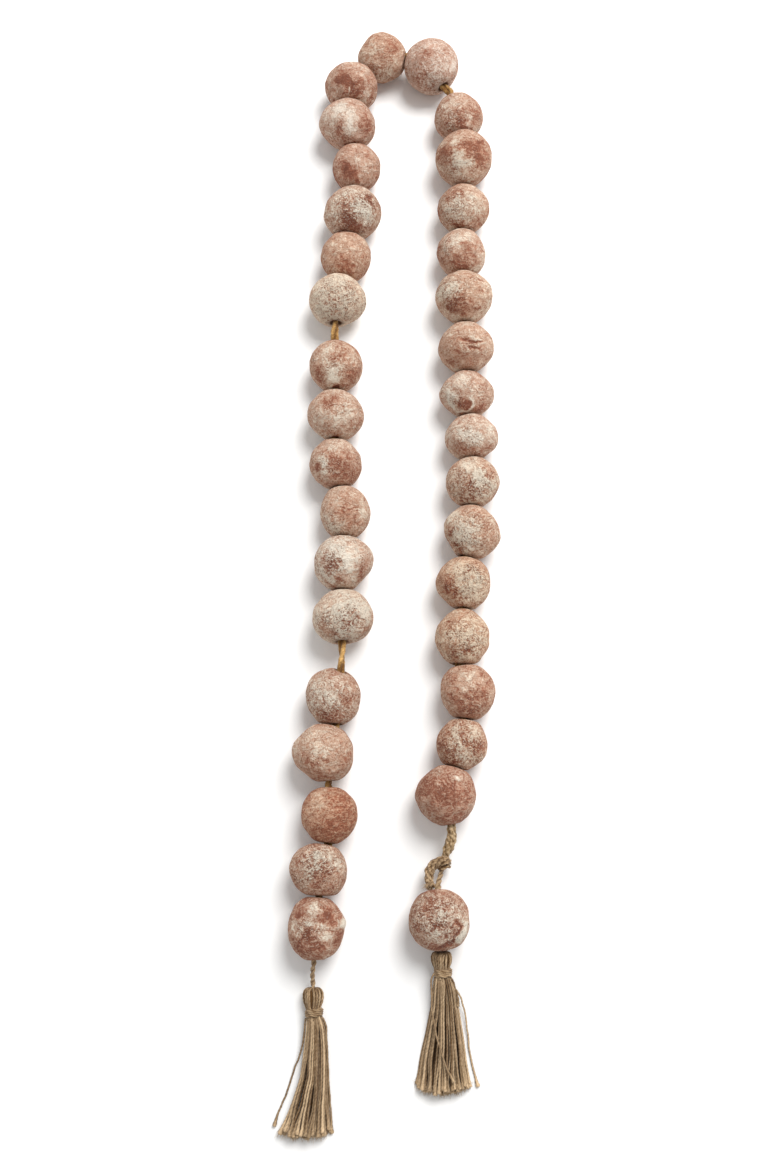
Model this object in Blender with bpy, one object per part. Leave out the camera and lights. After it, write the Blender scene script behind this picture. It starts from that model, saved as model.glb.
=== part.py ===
"""Ceramic bead garland, laid out on a surface in an upside-down U.

Hand-rolled beads on a jute cord, with a knotted tie and a jute tassel at the ends. Lengths in the tables
are millimetres on the layout: x to the right, y away from the tassels, z up from the surface. The model is
in metres, with its origin on the surface under the middle of the layout.
"""

import math
from collections import namedtuple

import bmesh
import bpy
from mathutils import Vector

MM = 0.001
MERGE_MM = 0.01  # corners nearer than this are one
GARLAND = "ceramic_bead_garland"

# Where the middle of the layout's box lies in the tables' own x and y.
MIDDLE_X_MM = 0.7
MIDDLE_Y_MM = 33.4

# Beads: rolled balls of clay, pierced, with the neighbours pressed flat against each other.
HIGH_SHARE = 0.97  # a bead's height over its width
FOOT_MM = 0.6  # how much of a bead's underside is cut flat where it rests
GAP_MM = 0.4  # between two beads that touch
PRESS_MM = 2.5  # how far the rounding round a pressed end reaches
LOBE_SHARPNESS = 7.0
WAVE_MM = 0.22
WAVE_COUNT = 3
WAVE_RATE = 2.2  # radians of the first wave in one radius of the ball
WAVE_SLANT = 0.6  # how far the waves' directions lean out of the level plane
BORE_MM = 7.0
BORE_SIDES = 8
BORE_PAST_MM = 6.0
BEAD_SEGMENTS = 14
BEAD_RINGS = 8

# Cord, twine and tassels.
CORD_MM = 4.6
CORD_CORNER_MM = 2.6  # how far from a meeting point the cord starts to bend
CORD_START_MM = 14.0  # how far up the first bead's bore the cord begins
ROUTE_STEPS = 2
WRAP_TWINE_MM = 1.9
WRAP_TURNS = 2
WRAP_STEPS = 10  # points in a turn of the wrap
WRAP_PITCH_MM = 2.2
WRAP_CLEAR_MM = 0.55  # between the neck and the wrap round it
WRAP_MIDDLE_MM = 13.2  # down the tassel from the top of its head, before its head_share
HEAD_SIDES = 12
CELL = 0.3  # the strands' spacing in a bundle one unit in radius
FLAT_SHARE = math.sqrt(0.5)  # a square's side over its corner-to-corner width
HEM_RAGGED_MM = 2.2
GOLDEN_ANGLE = 2.39996

# One row for each bead in the order it is strung, from the left tassel over the top to the right one.
# side and up say how far beside (left of the way along) and above the middle line the cord crosses to the
# next bead. lobes are (direction in degrees, millimetres) of its bulges and flats, seen from above.
Bead = namedtuple("Bead", "x y across tall side up lobes")
BEADS = [
    Bead(-39.7, -189.4, 30.6, 34.4, -0.8, 0.0, ((10, 0.8), (52, -0.9), (-22, -0.5))),
    Bead(-38.8, -158.9, 31.3, 28.8, -2.6, 0.0, ((150, 0.8), (105, -0.9), (-45, 1.0), (225, -0.5))),
    Bead(-33.5, -129.3, 30.8, 31.6, -1.2, 0.0, ((20, 0.6), (60, -0.5), (230, -0.9))),
    Bead(-36.7, -96.1, 33.6, 32.0, -4.2, 0.0, ((175, 1.2), (225, -1.2), (-50, 0.6), (-15, -0.4))),
    Bead(-32.0, -63.9, 30.9, 32.2, -2.4, 3.5, ((140, 0.3), (235, -0.6), (-40, 0.5))),
    Bead(-26.6, -18.9, 33.7, 31.5, 0.4, 0.0, ((-30, 0.5), (-62, -0.5), (165, 0.3), (215, 0.4))),
    Bead(-27.1, 12.8, 33.7, 31.6, 0.6, 0.0, ((15, 1.3), (-45, -1.0), (62, -0.4))),
    Bead(-26.2, 43.8, 29.2, 30.8, 1.6, 0.0, ((120, 0.2), (-35, -0.2))),
    Bead(-31.9, 73.3, 30.7, 28.8, 0.4, 0.0, ((160, 0.5), (45, -0.6), (-70, 0.3))),
    Bead(-32.3, 103.4, 32.9, 29.2, 0.0, 0.0, ((175, 0.5), (-20, 0.7), (235, -1.0))),
    Bead(-32.3, 134.5, 31.5, 32.0, 1.0, 1.5, ((240, -1.1), (300, -1.0), (80, 0.3))),
    Bead(-32.0, 176.8, 33.7, 32.0, 0.0, 0.0, ((0, 1.0), (-48, -0.9), (200, 0.2))),
    Bead(-27.0, 206.4, 30.5, 31.1, 0.0, 0.0, ((-60, -0.5), (110, 0.2))),
    Bead(-23.0, 235.3, 34.2, 32.0, 0.0, 0.0, ((190, 0.8), (8, 0.6), (130, -0.7))),
    Bead(-20.9, 267.0, 30.2, 29.1, 0.0, 0.0, ((-70, -0.4), (20, 0.3))),
    Bead(-26.7, 296.8, 33.8, 30.6, 0.0, 0.0, ((180, 0.9), (-25, 1.1), (228, -1.0))),
    Bead(-24.6, 323.9, 33.2, 28.7, 3.6, 0.0, ((-38, 0.9), (35, -0.5), (150, 0.3))),
    Bead(-5.1, 347.0, 29.6, 30.6, 4.0, 0.0, ((185, 0.7), (-5, 0.6), (140, -1.0), (225, -1.0))),
    Bead(26.6, 338.9, 33.1, 34.4, 2.8, 0.0, ((-50, -0.8), (140, 0.3))),
    Bead(42.7, 303.2, 30.3, 30.4, 0.0, 0.0, ((-25, 0.7), (150, -0.5), (60, -0.3))),
    Bead(45.7, 272.4, 35.4, 34.7, 1.2, 0.0, ((230, -0.9), (310, -1.0))),
    Bead(45.0, 238.5, 32.0, 28.2, 0.0, 0.0, ((20, 0.2), (250, -0.2))),
    Bead(43.3, 208.6, 30.1, 28.9, 0.0, 0.0, ((220, -1.0), (-30, 0.5), (95, 0.2))),
    Bead(44.7, 178.7, 34.5, 31.2, 0.0, 0.0, ((235, -0.8), (-50, -0.8))),
    Bead(45.2, 145.7, 33.1, 29.4, 1.4, 0.0, ((22, 0.8), (-52, -1.1), (230, -0.5))),
    Bead(45.4, 117.0, 31.0, 27.0, -0.7, 0.0, ((180, 1.1), (5, 0.9), (132, -1.0), (45, -0.6), (228, -0.8))),
    Bead(47.7, 89.8, 30.6, 25.8, 0.0, 0.0, ((-10, 0.5), (150, -0.2))),
    Bead(48.3, 61.8, 31.9, 28.3, 0.0, 0.0, ((0, -0.3), (160, 0.2))),
    Bead(46.8, 31.5, 31.4, 30.9, -0.9, 0.0, ((160, 0.8), (-15, 1.3), (215, -1.5), (45, -0.6))),
    Bead(42.2, 1.5, 31.1, 29.7, 0.0, 0.0, ((190, 0.9), (225, -0.9), (0, -0.4))),
    Bead(41.0, -30.1, 31.4, 31.6, -3.4, 0.0, ((55, -0.9), (125, -0.9))),
    Bead(43.2, -61.8, 30.2, 30.9, 0.0, 0.0, ((145, 0.7), (35, 0.8), (-30, 0.6), (180, -0.5), (240, -0.5))),
    Bead(39.7, -90.6, 28.5, 28.9, 0.0, 0.0, ((130, -0.5), (30, 0.2))),
    Bead(30.7, -118.9, 33.0, 33.2, 0.0, 0.0, ((170, 0.5), (130, -0.6), (-50, -0.4))),
    Bead(26.2, -184.9, 33.0, 33.0, 0.0, 0.0, ((-45, 0.5), (230, -0.3))),
]
LAST_STRUNG = len(BEADS) - 2  # the bead above the knot

# Stations on a cord or twine: its middle and its thickness there.
Station = namedtuple("Station", "x y z thick")

# The cord from the hole of the bead above the knot down to the knot.
TIE_ROUTE = [
    Station(33.6, -134.6, 14.6, 4.6),
    Station(33.9, -139.5, 12.8, 5.2),
    Station(33.2, -143.8, 11.0, 5.6),
    Station(31.8, -147.6, 9.4, 5.2),
    Station(30.2, -151.2, 7.8, 3.0),
    Station(29.0, -155.4, 6.9, 2.4),
]

# The cord's end, wound once over the knot and led down beside the last bead's hole.
KNOT_ROUTE = [
    Station(32.6, -155.4, 4.0, 2.8),
    Station(33.1, -153.9, 7.0, 2.8),
    Station(32.4, -153.0, 10.4, 3.6),
    Station(29.8, -152.7, 12.2, 4.2),
    Station(26.9, -153.2, 11.4, 4.6),
    Station(24.0, -154.8, 9.8, 5.0),
    Station(21.8, -157.8, 9.2, 5.2),
    Station(20.9, -161.4, 10.2, 5.2),
    Station(20.9, -164.4, 12.0, 4.8),
    Station(21.3, -166.3, 13.4, 4.0),
]

# The twine from the knot through the last bead, between BORE_STATIONS, to the right tassel's head.
TIE_TWINE_ROUTE = [
    Station(28.6, -157.0, 6.9, 2.2),
    Station(27.9, -160.4, 8.4, 2.5),
    Station(26.6, -164.6, 12.0, 2.5),
    Station(25.9, -168.6, 14.8, 2.5),
    Station(25.8, -173.0, 15.4, 2.5),
    Station(26.9, -194.0, 14.8, 2.5),
    Station(27.4, -198.8, 13.4, 2.5),
    Station(27.8, -200.5, 11.9, 2.2),
]

BORE_STATIONS = (3, 6)

# The twine from the first bead's bore down to the left tassel's head.
NECK_TWINE_ROUTE = [
    Station(-39.9, -196.0, 14.6, 2.3),
    Station(-40.6, -206.4, 14.0, 2.3),
    Station(-41.5, -210.4, 12.2, 2.3),
    Station(-41.5, -214.0, 9.2, 2.3),
    Station(-41.2, -216.9, 6.9, 2.3),
    Station(-41.1, -219.4, 6.1, 2.2),
]

# A tassel: the top of its head, how steeply its head runs down to the surface, how long it is, how long its
# head is as a share of HEAD_PROFILE, half the bundle's width and how far to its right the bundle's middle
# lies at each section, and the strands that have left the bundle.
Tassel = namedtuple("Tassel", "name x y z drop_deg long head_share spread sway strays")

# A strand that has left the bundle: how far down the tassel, to its right and up from the surface.
Stray = namedtuple("Stray", "down side up")

LEFT_SPREAD = (4.4, 5.9, 6.9, 8.2, 10.5, 14.6)
LEFT_SWAY = (0.3, 1.1, 1.4, 0.8, -1.2, -3.7)
RIGHT_SPREAD = (4.4, 5.9, 7.4, 10.4, 13.2, 15.6)
RIGHT_SWAY = (0.0, 0.2, 0.5, 0.6, 0.4, 0.4)
LEFT_STRAY = [
    Stray(20.0, -3.7, 3.3),
    Stray(25.0, -6.4, 3.0),
    Stray(38.0, -8.2, 1.6),
    Stray(55.0, -14.2, 0.67),
    Stray(71.5, -20.4, 0.67),
]
RIGHT_SIDE_STRAY = [
    Stray(20.0, 4.1, 4.5),
    Stray(24.0, 8.6, 4.0),
    Stray(30.0, 11.8, 3.2),
    Stray(42.0, 13.9, 1.6),
    Stray(53.0, 15.8, 0.67),
    Stray(69.5, 21.0, 0.67),
]
RIGHT_FRONT_STRAY = [
    Stray(19.8, -2.6, 11.3),
    Stray(23.0, -5.8, 10.4),
    Stray(35.0, -4.9, 9.4),
    Stray(49.5, -2.7, 9.1),
    Stray(60.0, 1.0, 9.0),
    Stray(69.0, 5.8, 8.9),
]
RIGHT_STRAYS = (RIGHT_SIDE_STRAY, RIGHT_FRONT_STRAY)
TASSELS = [
    Tassel("left", -41.1, -220.1, 5.9, 0.5, 73.0, 1.0, LEFT_SPREAD, LEFT_SWAY, (LEFT_STRAY,)),
    Tassel("right", 28.0, -201.4, 10.3, 8.5, 70.2, 0.85, RIGHT_SPREAD, RIGHT_SWAY, RIGHT_STRAYS),
]

NECK_MM = 5.8  # across the head under the wrap

# A tassel's head, turned: how far down it is and how thick it is there. It ends in the roots' flat face.
Turn = namedtuple("Turn", "down across")
HEAD_PROFILE = [
    Turn(0.0, 3.0),
    Turn(0.6, 7.0),
    Turn(2.4, 10.2),
    Turn(5.0, 10.6),
    Turn(8.2, 9.6),
    Turn(9.1, 8.2),
    Turn(9.4, NECK_MM),
    Turn(17.0, NECK_MM),
    Turn(17.5, 9.4),
    Turn(20.6, 11.2),
]

# The bundle of strands: half its height, how far it has settled flat on the surface, and how thick a strand
# is there from corner to corner.
Section = namedtuple("Section", "down half_high settled thick")
BUNDLE = [
    Section(18.4, 3.6, 0.0, 0.84),
    Section(22.0, 3.8, 0.1, 1.10),
    Section(30.0, 3.9, 0.55, 1.40),
    Section(46.0, 3.8, 0.95, 1.66),
    Section(60.0, 3.7, 1.0, 2.04),
    Section(74.0, 3.6, 1.0, 2.10),
]
ROOTS_END_MM = BUNDLE[1].down
SPREAD_MM = BUNDLE[-1].down - ROOTS_END_MM
SETTLED_SHARE = 0.5  # of the bundle's half height: what would lie lower than this lies on the surface
STRAY_THICK_MM = 1.9
STRAY_ROOT_MM = 1.0


def clear_scene():
    for thing in list(bpy.data.objects):
        bpy.data.objects.remove(thing, do_unlink=True)


def make_collection(name):
    collection = bpy.data.collections.new(name)
    bpy.context.scene.collection.children.link(collection)
    return collection


def make_material(name, colour, roughness):
    material = bpy.data.materials.new(name)
    material.use_nodes = True
    shader = material.node_tree.nodes["Principled BSDF"]
    shader.inputs["Base Color"].default_value = (*colour, 1.0)
    shader.inputs["Roughness"].default_value = roughness
    shader.inputs["Metallic"].default_value = 0.0
    return material


def make_object(name, data, collection, material=None):
    thing = bpy.data.objects.new(name, data)
    collection.objects.link(thing)
    if material:
        data.materials.append(material)
    return thing


def make_cutter(thing):
    thing.hide_render = True
    thing.display_type = "WIRE"


def on_layout(x, y, z):
    """A place of the tables, in millimetres from the model's origin."""
    return Vector((x - MIDDLE_X_MM, y - MIDDLE_Y_MM, z))


def bead_middle(bead):
    return on_layout(bead.x, bead.y, bead.across * HIGH_SHARE / 2 - FOOT_MM)


def waves(number, direction):
    """The slow unevenness of a hand-rolled ball, in mm: sines along directions that differ by bead."""
    total = 0.0
    for k in range(1, WAVE_COUNT + 1):
        turn = GOLDEN_ANGLE * number * k
        along = Vector((math.cos(turn), math.sin(turn), WAVE_SLANT * (-1) ** k)).normalized()
        total += WAVE_MM / k * math.sin(WAVE_RATE * k * direction.dot(along) + turn)
    return total


def bead_radius(number, bead, direction):
    """How far the clay reaches in a direction: an ellipsoid with the bead's own lobes and waves, in mm."""
    across = direction.x / (bead.across / 2)
    along = direction.y / (bead.tall / 2)
    up = direction.z / (bead.across * HIGH_SHARE / 2)
    radius = 1 / math.sqrt(across**2 + along**2 + up**2)
    for degrees, reach in bead.lobes:
        turn = math.radians(degrees)
        lobe = Vector((math.cos(turn), math.sin(turn), 0.0))
        radius += reach * math.exp(LOBE_SHARPNESS * (direction.dot(lobe) - 1))
    return radius + waves(number, direction)


def pressed(point, way, limit):
    """A point of a bead, held back short of the plane where the neighbour presses on it."""
    over = point.dot(way) - (limit - PRESS_MM)
    if over <= 0:
        return point
    return point - way * (over - PRESS_MM * math.tanh(over / PRESS_MM))


def meeting(index):
    """Where a bead and the next one meet: the point, the way from one to the other, and both their limits."""
    bead, after = BEADS[index], BEADS[index + 1]
    start, end = bead_middle(bead), bead_middle(after)
    way = end - start
    apart = way.length
    way.normalize()
    first = apart * bead.tall / (bead.tall + after.tall)
    return start + way * first, way, first - GAP_MM / 2, apart - first - GAP_MM / 2


def crossing(index):
    """Where the cord crosses from a bead to the next one, beside or above the point where they meet."""
    point, way, _, _ = meeting(index)
    beside = Vector((-way.y, way.x, 0.0)).normalized()
    return point + beside * BEADS[index].side + Vector((0.0, 0.0, BEADS[index].up))


def station_point(station):
    return on_layout(station.x, station.y, station.z)


def bore_ends(index):
    """The two points that a bead's bore runs through, in millimetres."""
    if index > LAST_STRUNG:
        first, last = BORE_STATIONS
        return station_point(TIE_TWINE_ROUTE[first]), station_point(TIE_TWINE_ROUTE[last])
    before = crossing(index - 1) if index else station_point(NECK_TWINE_ROUTE[1])
    after = crossing(index) if index < LAST_STRUNG else station_point(TIE_ROUTE[0])
    return before, after


def make_bore_cutter(name, index, collection):
    """A straight round tool through a bead, from one end of its bore to the other and a little past both."""
    start, end = bore_ends(index)
    way = (end - start).normalized()
    long = (end - start).length + 2 * BORE_PAST_MM
    mesh = bpy.data.meshes.new(name)
    shape = bmesh.new()
    bmesh.ops.create_cone(
        shape,
        cap_ends=True,
        segments=BORE_SIDES,
        radius1=BORE_MM / 2 * MM,
        radius2=BORE_MM / 2 * MM,
        depth=long * MM,
    )
    shape.to_mesh(mesh)
    shape.free()
    cutter = make_object(name, mesh, collection)
    cutter.rotation_mode = "QUATERNION"
    cutter.rotation_quaternion = way.to_track_quat("Z", "Y")
    cutter.location = (start + end) / 2 * MM
    make_cutter(cutter)
    return cutter


def make_bead(index, material, collection, cutters):
    """A rolled ball, pressed by its neighbours, cut flat where it rests and bored along the cord."""
    bead = BEADS[index]
    middle = bead_middle(bead)
    presses = []
    if 0 < index <= LAST_STRUNG:
        _, way, _, limit = meeting(index - 1)
        presses.append((-way, limit))
    if index < LAST_STRUNG:
        _, way, limit, _ = meeting(index)
        presses.append((way, limit))
    name = f"bead_{index + 1:02d}"
    mesh = bpy.data.meshes.new(name)
    shape = bmesh.new()
    bmesh.ops.create_uvsphere(shape, u_segments=BEAD_SEGMENTS, v_segments=BEAD_RINGS, radius=1.0)
    for vertex in shape.verts:
        direction = vertex.co.normalized()
        point = direction * bead_radius(index + 1, bead, direction)
        for way, limit in presses:
            point = pressed(point, way, limit)
        vertex.co = point * MM
    cut = bmesh.ops.bisect_plane(
        shape,
        geom=shape.verts[:] + shape.edges[:] + shape.faces[:],
        plane_co=(0.0, 0.0, -middle.z * MM),
        plane_no=(0.0, 0.0, 1.0),
        clear_inner=True,
    )
    rim = [part for part in cut["geom_cut"] if isinstance(part, bmesh.types.BMEdge)]
    bmesh.ops.edgeloop_fill(shape, edges=rim)
    bmesh.ops.recalc_face_normals(shape, faces=shape.faces[:])
    shape.to_mesh(mesh)
    shape.free()
    mesh.shade_smooth()
    thing = make_object(name, mesh, collection, material)
    thing.location = middle * MM
    bore = thing.modifiers.new("bore", "BOOLEAN")
    bore.operation = "DIFFERENCE"
    bore.object = make_bore_cutter(f"bore_tool_{index + 1:02d}", index, cutters)
    return thing


def between(p, q, r, s, t):
    """A Catmull-Rom value from q to r, with p before them and s after, at t from 0 to 1."""
    return q + t / 2 * (r - p + t * (2 * p - 5 * q + 4 * r - s + t * (3 * (q - r) + s - p)))


def smooth_route(stations):
    """Stations read from a smooth curve through the given ones, with ROUTE_STEPS to each stretch."""
    ends = [stations[0], *stations, stations[-1]]
    route = []
    for k in range(len(stations) - 1):
        a, b, c, d = ends[k : k + 4]
        for step in range(ROUTE_STEPS):
            t = step / ROUTE_STEPS
            route.append(Station(*(between(*values, t) for values in zip(a, b, c, d))))
    return [*route, stations[-1]]


def add_spline(curve, points, radii, tilt=0.0):
    spline = curve.splines.new("POLY")
    spline.points.add(len(points) - 1)
    for place, point, radius in zip(spline.points, points, radii):
        place.co = (*(point * MM), 1.0)
        place.radius = radius * MM
        place.tilt = tilt


def make_tube(name, points, thicknesses, material, collection):
    """A round cord through the points, as thick at each as it says."""
    curve = bpy.data.curves.new(name, "CURVE")
    curve.dimensions = "3D"
    curve.bevel_depth = 1.0
    curve.bevel_resolution = 2
    curve.use_fill_caps = True
    add_spline(curve, points, [thick / 2 for thick in thicknesses])
    return make_object(name, curve, collection, material)


def make_stringing_cord(material, collection):
    """One cord from inside the first bead's bore, through all the beads that sit together, to the knot."""
    start, crossing_after = bore_ends(0)
    way = (crossing_after - start).normalized()
    points = [start + way * CORD_START_MM]
    for index in range(LAST_STRUNG):
        before, here = bore_ends(index)
        after = bore_ends(index + 1)[1]
        points.append(here - (here - before).normalized() * CORD_CORNER_MM)
        points.append(here + (after - here).normalized() * CORD_CORNER_MM)
    thicknesses = [CORD_MM] * len(points)
    for station in smooth_route(TIE_ROUTE):
        points.append(station_point(station))
        thicknesses.append(station.thick)
    return make_tube("stringing_cord", points, thicknesses, material, collection)


def make_route_tube(name, stations, material, collection):
    route = smooth_route(stations)
    points = [station_point(station) for station in route]
    return make_tube(name, points, [station.thick for station in route], material, collection)


def down_tassel(tassel):
    """The way down a tassel's head, a unit vector."""
    drop = math.radians(tassel.drop_deg)
    return Vector((0.0, -math.cos(drop), -math.sin(drop)))


def tassel_place(tassel, down, side, up):
    """A point in millimetres, down from the top of the tassel, to its right and up from the surface."""
    return on_layout(tassel.x + side, tassel.y - down, up)


def middle_height(tassel, down):
    return tassel.z - math.tan(math.radians(tassel.drop_deg)) * down


def strand_cells():
    """The strands' places on a honeycomb inside a circle one unit in radius."""
    row_step = CELL * math.sqrt(3) / 2
    rows = int(1 / row_step)
    columns = int(1 / CELL) + 1
    for row in range(-rows, rows + 1):
        q = row * row_step
        for column in range(-columns, columns + 1):
            p = (column + 0.5 * (row % 2)) * CELL
            if p * p + q * q <= 1:
                yield p, q


def strand_route(tassel, number, p, q):
    """A strand from its root in the head's flat face to the hem, settling into the flattened bundle."""
    points = []
    raised = q + math.sqrt(1 - p * p)
    if raised < SETTLED_SHARE:
        raised = 0.0
    for section, half_wide, sway in zip(BUNDLE, tassel.spread, tassel.sway):
        rest = section.thick / 2 * FLAT_SHARE
        lying = rest + section.half_high * raised
        held = max(middle_height(tassel, section.down) + section.half_high * q, rest)
        up = held + (lying - held) * section.settled
        down = section.down
        if section.down > ROOTS_END_MM:
            down += (tassel.long - BUNDLE[-1].down) * (section.down - ROOTS_END_MM) / SPREAD_MM
        points.append(tassel_place(tassel, down, sway + half_wide * p, up))
    ragged = HEM_RAGGED_MM * math.sin(GOLDEN_ANGLE * number)
    points[-1] = points[-2].lerp(points[-1], 1 + ragged / (BUNDLE[-1].down - BUNDLE[-2].down))
    return points, [section.thick / 2 for section in BUNDLE]


def stray_route(tassel, rows):
    points = [tassel_place(tassel, row.down, row.side, row.up) for row in rows]
    return points, [STRAY_ROOT_MM / 2] + [STRAY_THICK_MM / 2] * (len(rows) - 1)


def make_strands(tassel, collection):
    """The tassel's square strands, each a closed bar of its own, as one mesh to be joined to the head."""
    name = f"strands_{tassel.name}"
    curve = bpy.data.curves.new(name, "CURVE")
    curve.dimensions = "3D"
    curve.twist_mode = "Z_UP"
    curve.bevel_depth = 1.0
    curve.bevel_resolution = 0
    curve.use_fill_caps = True
    for number, (p, q) in enumerate(strand_cells()):
        add_spline(curve, *strand_route(tassel, number, p, q), tilt=math.pi / 4)
    for rows in tassel.strays:
        add_spline(curve, *stray_route(tassel, rows), tilt=math.pi / 4)
    source = make_object(f"{name}_curve", curve, collection)
    bpy.context.view_layer.update()
    mesh = bpy.data.meshes.new_from_object(source.evaluated_get(bpy.context.evaluated_depsgraph_get()))
    shape = bmesh.new()
    shape.from_mesh(mesh)
    bmesh.ops.remove_doubles(shape, verts=shape.verts[:], dist=MERGE_MM * MM)
    bmesh.ops.recalc_face_normals(shape, faces=shape.faces[:])
    shape.to_mesh(mesh)
    shape.free()
    strands = make_object(name, mesh, collection)
    strands.matrix_world = source.matrix_world
    bpy.data.objects.remove(source)
    make_cutter(strands)
    return strands


def make_tassel(tassel, material, collection, cutters):
    """The folded strands' fused head, turned about its middle line, with the strands joined to it."""
    name = f"tassel_{tassel.name}"
    mesh = bpy.data.meshes.new(name)
    shape = bmesh.new()
    outline = [Vector((0.0, 0.0, 0.0))]
    outline += [Vector((turn.across / 2, 0.0, -turn.down * tassel.head_share)) for turn in HEAD_PROFILE[:-1]]
    outline.append(Vector((HEAD_PROFILE[-1].across / 2, 0.0, -HEAD_PROFILE[-1].down)))
    outline.append(Vector((0.0, 0.0, -HEAD_PROFILE[-1].down)))
    corners = [shape.verts.new(point * MM) for point in outline]
    for first, second in zip(corners, corners[1:]):
        shape.edges.new((first, second))
    bmesh.ops.spin(
        shape,
        geom=shape.verts[:] + shape.edges[:],
        cent=(0.0, 0.0, 0.0),
        axis=(0.0, 0.0, 1.0),
        angle=2 * math.pi,
        steps=HEAD_SIDES,
        use_merge=True,
    )
    bmesh.ops.remove_doubles(shape, verts=shape.verts[:], dist=MERGE_MM * MM)
    bmesh.ops.recalc_face_normals(shape, faces=shape.faces[:])
    shape.to_mesh(mesh)
    shape.free()
    mesh.shade_smooth()
    head = make_object(name, mesh, collection, material)
    head.rotation_mode = "QUATERNION"
    head.rotation_quaternion = (-down_tassel(tassel)).to_track_quat("Z", "Y")
    head.location = on_layout(tassel.x, tassel.y, tassel.z) * MM
    join = head.modifiers.new("strands", "BOOLEAN")
    join.operation = "UNION"
    join.object = make_strands(tassel, cutters)
    return head


def make_wrap(tassel, material, collection):
    """Twine wound round the tassel's neck: a short helix about its middle line."""
    way = down_tassel(tassel)
    beside = Vector((1.0, 0.0, 0.0))
    above = way.cross(beside)
    top = on_layout(tassel.x, tassel.y, tassel.z)
    radius = NECK_MM / 2 + WRAP_CLEAR_MM + WRAP_TWINE_MM / 2
    points = []
    for step in range(WRAP_TURNS * WRAP_STEPS + 1):
        turns = step / WRAP_STEPS
        down = WRAP_MIDDLE_MM * tassel.head_share + WRAP_PITCH_MM * (turns - WRAP_TURNS / 2)
        around = beside * math.sin(2 * math.pi * turns) - above * math.cos(2 * math.pi * turns)
        points.append(top + way * down + around * radius)
    return make_tube(f"wrap_{tassel.name}", points, [WRAP_TWINE_MM] * len(points), material, collection)


def main():
    clear_scene()
    parts = make_collection(GARLAND)
    cutters = make_collection("cutters")
    clay = make_material("white_washed_clay", (0.55, 0.33, 0.25), 0.9)
    jute_cord = make_material("golden_jute_cord", (0.45, 0.30, 0.13), 0.95)
    jute_tassel = make_material("jute_tassel", (0.37, 0.25, 0.14), 0.95)
    for index in range(len(BEADS)):
        make_bead(index, clay, parts, cutters)
    make_stringing_cord(jute_cord, parts)
    make_route_tube("knot_loop", KNOT_ROUTE, jute_cord, parts)
    make_route_tube("tie_twine", TIE_TWINE_ROUTE, jute_tassel, parts)
    make_route_tube("neck_twine", NECK_TWINE_ROUTE, jute_tassel, parts)
    for tassel in TASSELS:
        make_tassel(tassel, jute_tassel, parts, cutters)
        make_wrap(tassel, jute_tassel, parts)


main()
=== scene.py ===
"""Looks of a ceramic bead garland: white-washed clay beads, jute cord, knot and tassels, laid out in a U.

Tables are in millimetres on the layout: x to the right, y away from the tassels, z up from the surface.
"""

import math
from collections import namedtuple
from functools import partial

import bpy
import numpy as np
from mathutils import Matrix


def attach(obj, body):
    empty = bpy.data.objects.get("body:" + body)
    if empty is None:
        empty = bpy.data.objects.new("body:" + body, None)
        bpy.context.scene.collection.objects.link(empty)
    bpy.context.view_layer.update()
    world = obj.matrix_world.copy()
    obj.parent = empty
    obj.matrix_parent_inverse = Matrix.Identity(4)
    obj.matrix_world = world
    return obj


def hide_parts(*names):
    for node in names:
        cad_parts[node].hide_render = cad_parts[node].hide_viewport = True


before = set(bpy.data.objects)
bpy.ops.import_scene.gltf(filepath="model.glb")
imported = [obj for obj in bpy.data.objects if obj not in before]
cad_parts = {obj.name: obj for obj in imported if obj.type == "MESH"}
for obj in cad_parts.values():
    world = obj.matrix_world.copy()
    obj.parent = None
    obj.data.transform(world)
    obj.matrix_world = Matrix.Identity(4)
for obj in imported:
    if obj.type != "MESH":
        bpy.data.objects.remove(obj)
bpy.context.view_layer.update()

bl_info = {
    "name": "Bead garland",
    "version": (1, 0, 0),
    "blender": (4, 5, 0),
    "location": "3D View > Sidebar > Garland",
    "description": "Dresses the solids of a clay bead garland with washed clay and jute",
    "category": "Object",
}

MM = 0.001
TURN = 2 * math.pi
GOLDEN_ANGLE = 2.39996
UPWARD = (0.0, 0.0, 1.0)

# Where the middle of the layout's box lies in the tables' own x and y.
MIDDLE = np.array([0.7, 33.4, 0.0])

# The camera that took the photo, in the layout's millimetres: above the tassels' end, looking down and away.
CAMERA_PLACE = np.array([0.0, -179.5, 736.0])
CAMERA_TILT_DEG = 14.0
CAMERA_LENS = 40.0
CAMERA_FRAME = 36.0

# Beads, as they are in the solids: their height over their width, how far their undersides are cut off flat,
# the gap between neighbours, how softly they are pressed flat there, how sharply a bulge or flat falls off,
# and the depth, number, rate and slant of their slow waves.
HIGH_SHARE = 0.97
FOOT_MM = 0.6
GAP_MM = 0.4
PRESS_MM = 2.5
LOBE_SHARPNESS = 7.0
WAVE_MM = 0.22
WAVE_COUNT = 3
WAVE_RATE = 2.2
WAVE_SLANT = 0.6

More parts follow.
